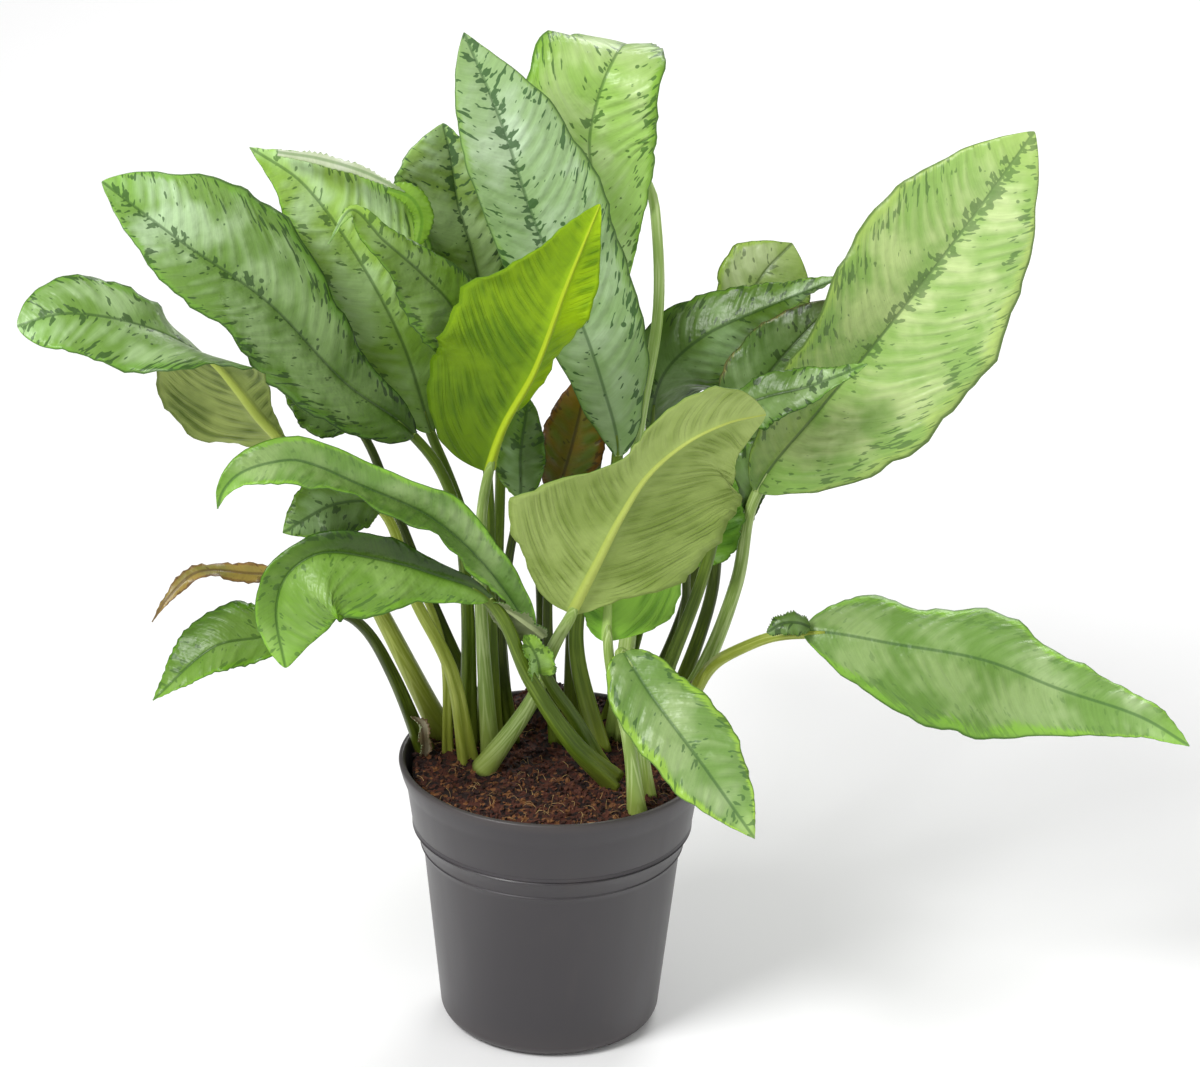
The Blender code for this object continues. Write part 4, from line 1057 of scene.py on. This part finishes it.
def make_pot():
    values = {"Body": (56, 53, 56), "Dust": (82, 75, 72)}
    plastic = begin_material("pot_moulded", make_pot_group(), values, Coat_Weight=0.08)
    pot = finish_piece("pot_shell", turned(pot_profile(), POT_STEPS), (plastic,))
    angles = [2 * math.pi * number / CHANNELS + CHANNEL_TURN for number in range(CHANNELS)]
    cut_away(pot, [drain_cutter(angle) for angle in angles] + [hole_cutter(a) for a in angles])
    pot.data.shade_smooth()
    pot.data.set_sharp_from_angle(angle=math.radians(SHARP_ABOVE))
    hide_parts("pot")


# ---------------------------------------------------------------- soil

def make_soil_group():
    inputs = {"Dark": "colour", "Red": "colour", "Tan": "colour"}
    w, given, result = begin_group("potting_soil", inputs, FINISH)
    place = w.object_place()
    chips = w.cells(place, 330)
    tint = w.split(chips.outputs["Color"])
    grains = w.noise(place, scale=520, detail=3, roughness=0.65)
    patch = w.noise(place, scale=26, detail=2)
    front = w.step(w.split(place)[1], 0.02, -0.09)
    red = w.step(w.plus(tint[0], w.times(patch, 0.4)), 0.45, 0.95)
    colour = w.blend(red, given["Dark"], given["Red"])
    share = w.times_plus(front, -0.14, 0.9)
    tan = w.step(tint[1], share, w.plus(share, 0.12))
    colour = w.blend(w.times(tan, 0.8), colour, given["Tan"])
    tone = w.spread(grains, 0.55, 1.35)
    colour = w.shade(colour, tone)
    roughness = w.spread(grains, 0.75, 0.98)
    return finish_group(w, result, colour, roughness, w.times(grains, 0.0008))


def ground_height(x, y):
    """The soil's height with its lumps, and drawn up round every stalk."""
    heap = BACK_HEAP * ease(y, 0.02, 0.075) * (1 + 0.4 * np.sin(95 * x + 2))
    rise = heap + SOIL_LUMP * (0.5 + 0.3 * np.sin(310 * x + 1) * np.sin(270 * y + 2)
                        + 0.3 * np.sin(150 * x - 190 * y) + 0.2 * np.sin(420 * x + 360 * y))
    for measures in LEAVES:
        away = np.hypot(x - measures["foot"][0] * CM, y - measures["foot"][1] * CM)
        rise = rise + MOUND * np.exp(-(away / MOUND_REACH) ** 2)
    return soil_height(x, y) + rise


def make_soil_top(dirt):
    """An uneven disc over the plug, sunk at its edge so that no rim of it shows."""
    shape = bmesh.new()
    bmesh.ops.create_grid(shape, x_segments=SOIL_STEPS, y_segments=SOIL_STEPS, size=1)
    top = finish_piece("soil_surface", shape, (dirt,))
    flat = points_of(top.data)
    square = np.maximum(np.abs(flat[:, 0]), np.abs(flat[:, 1]))
    length = np.hypot(flat[:, 0], flat[:, 1])
    scale = np.where(length > 0, square / np.maximum(length, 1e-9), 0)
    x = flat[:, 0] * scale * (SOIL_RADIUS + SOIL_OVERLAP)
    y = flat[:, 1] * scale * (SOIL_RADIUS + SOIL_OVERLAP)
    z = ground_height(x, y) - SOIL_TUCK * ease(square, 0.97, 1.0)
    move_points(top.data, np.stack((x, y, z), axis=1))
    return top


def scatter(rng, count, reach):
    """Places on the soil, spread evenly."""
    angle = rng.uniform(0, 2 * np.pi, count)
    radius = reach * np.sqrt(rng.uniform(0, 1, count))
    return radius * np.cos(angle), radius * np.sin(angle)


def make_crumbs(dirt, rng):
    """Broken bits of coir and peat lying on the soil."""
    whole = bmesh.new()
    batch_mesh = bpy.data.meshes.new("crumb_batch")
    for _ in range(CRUMB_BATCHES):
        shape = bmesh.new()
        xs, ys = scatter(rng, CRUMBS // CRUMB_BATCHES, SOIL_RADIUS - 0.001)
        for x, y in zip(xs, ys):
            size = 0.0007 + 0.0016 * rng.random() ** 2.2
            height = ground_height(x, y) + size * 0.25
            axis = Vector(rng.normal(size=3)).normalized()
            turn = Matrix.Rotation(rng.uniform(0, 2 * np.pi), 4, axis)
            squash = (rng.uniform(0.8, 1.9), rng.uniform(0.6, 1), rng.uniform(0.4, 0.8), 1)
            place = Matrix.Translation((x, y, height)) @ turn @ Matrix.Diagonal(squash)
            bmesh.ops.create_icosphere(shape, subdivisions=1, radius=size, matrix=place)
        shape.to_mesh(batch_mesh)
        shape.free()
        whole.from_mesh(batch_mesh)
    bpy.data.meshes.remove(batch_mesh)
    for vert in whole.verts:
        vert.co += Vector(rng.normal(0, 0.0002, 3))
    return finish_piece("soil_crumbs", whole, (dirt,), smooth=False)


def make_fibres(straw, rng):
    """Thin coir fibres lying about on the soil."""
    line = bpy.data.curves.new("soil_fibres", "CURVE")
    line.dimensions = "3D"
    line.bevel_depth = 0.00022
    line.bevel_resolution = 1
    line.resolution_u = 3
    line.use_fill_caps = True
    xs, ys = scatter(rng, FIBRES, SOIL_RADIUS - 0.004)
    for x, y in zip(xs, ys):
        run = line.splines.new("POLY")
        run.points.add(4)
        way = rng.uniform(0, 2 * np.pi)
        length = rng.uniform(0.005, 0.018)
        for k, point in enumerate(run.points):
            way += rng.normal(0, 0.35)
            x += math.cos(way) * length / 5
            y += math.sin(way) * length / 5
            stay = min(1, (SOIL_RADIUS - 0.002) / math.hypot(x, y))
            height = ground_height(x * stay, y * stay) + 0.0006 + 0.0022 * math.sin(k * 0.8)
            point.co = (x * stay, y * stay, height, 1)
            point.radius = 1 - 0.12 * k
    strands = place_object("soil_fibres", line)
    line.materials.append(straw)
    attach(strands, "root")
    return strands


def make_soil():
    group = make_soil_group()
    values = {"Dark": (28, 12, 9), "Red": (76, 37, 24), "Tan": (136, 90, 52)}
    dirt = begin_material("soil_mix", group, values, bump=0.8)
    loose = dict(values, Red=(88, 50, 36), Dark=(40, 20, 16))
    chips = begin_material("soil_chips", group, loose, bump=0.6)
    straw = begin_material("coir_fibre", group, dict(values, Dark=(150, 116, 76),
                                                     Red=(182, 150, 100)), bump=0.2)
    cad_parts["soil"].material_slots[0].material = dirt
    rng = np.random.default_rng(7)
    make_soil_top(dirt)
    make_crumbs(chips, rng)
    make_fibres(straw, rng)


# ---------------------------------------------------------------- stage

def make_stage():
    shape = bmesh.new()
    bmesh.ops.create_grid(shape, x_segments=1, y_segments=1, size=STAGE_REACH)
    floor = place_object("floor", finish_mesh("floor", shape))
    material = bpy.data.materials.new("pale_floor")
    material.use_nodes = True
    shader = material.node_tree.nodes["Principled BSDF"]
    shader.inputs["Base Color"].default_value = STAGE_COLOUR
    shader.inputs["Roughness"].default_value = STAGE_ROUGHNESS
    floor.data.materials.append(material)


def make_lamp(name, place, target, size, power):
    lamp = bpy.data.lights.new(name, "AREA")
    lamp.shape = "DISK"
    lamp.size = size
    lamp.energy = power
    holder = place_object(name, lamp)
    holder.location = place
    holder.rotation_mode = "QUATERNION"
    holder.rotation_quaternion = (Vector(target) - Vector(place)).to_track_quat("-Z", "Y")


def make_lights():
    world = bpy.data.worlds.new("studio")
    world.use_nodes = True
    sky = world.node_tree.nodes["Background"]
    sky.inputs["Color"].default_value = (1, 1, 1, 1)
    sky.inputs["Strength"].default_value = WORLD_LIGHT
    bpy.context.scene.world = world
    make_lamp("key", (-1.9, -1.9, 3.0), (0, 0, 0.4), 1.5, 115)
    make_lamp("fill", (2.6, -2.0, 1.8), (0, 0, 0.3), 2.4, 16)
    make_lamp("back", (0.8, 2.6, 2.0), (0, 0, 0.4), 1.8, 40)


def make_camera():
    data = bpy.data.cameras.new("camera")
    data.sensor_width = SENSOR
    data.lens = LENS
    camera = place_object("camera", data)
    pitch = math.radians(CAMERA_PITCH)
    back = Vector((0, -math.cos(pitch), math.sin(pitch)))
    camera.location = Vector(AIM) + back * CAMERA_DISTANCE
    tilt = Matrix.Rotation(math.pi / 2 - pitch, 3, "X")
    tilt = tilt @ Matrix.Rotation(math.radians(CAMERA_ROLL), 3, "Z")
    camera.rotation_mode = "QUATERNION"
    camera.rotation_quaternion = tilt.to_quaternion()
    bpy.context.scene.camera = camera


def main():
    make_camera()
    make_stage()
    make_lights()
    bpy.context.scene.view_settings.view_transform = "Standard"
    make_pot()
    make_soil()
    upper = make_looks("leaf_upper_", make_upper_group(), UPPER_LABELS, UPPER_LOOKS,
                       Specular_IOR_Level=0.4)
    under = make_looks("leaf_under_", make_under_group(), UNDER_LABELS, UNDER_LOOKS,
                       Specular_IOR_Level=0.25)
    petiole = make_looks("stalk_", make_stalk_group(), STALK_LABELS, STALK_LOOKS,
                         Specular_IOR_Level=0.35)
    for measures in LEAVES:
        blade = make_blade(measures, upper[measures["upper"]], under[measures["under"]])
        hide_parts("blade_" + measures["number"])
        stalk = make_stalk(measures, petiole[measures["petiole"]])
        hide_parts("stalk_" + measures["number"])
    for count, measures in enumerate(LOBES, 1):
        make_blade(measures, upper[measures["upper"]], under[measures["under"]], f"lobe_{count}")


main()
bpy.context.view_layer.update()
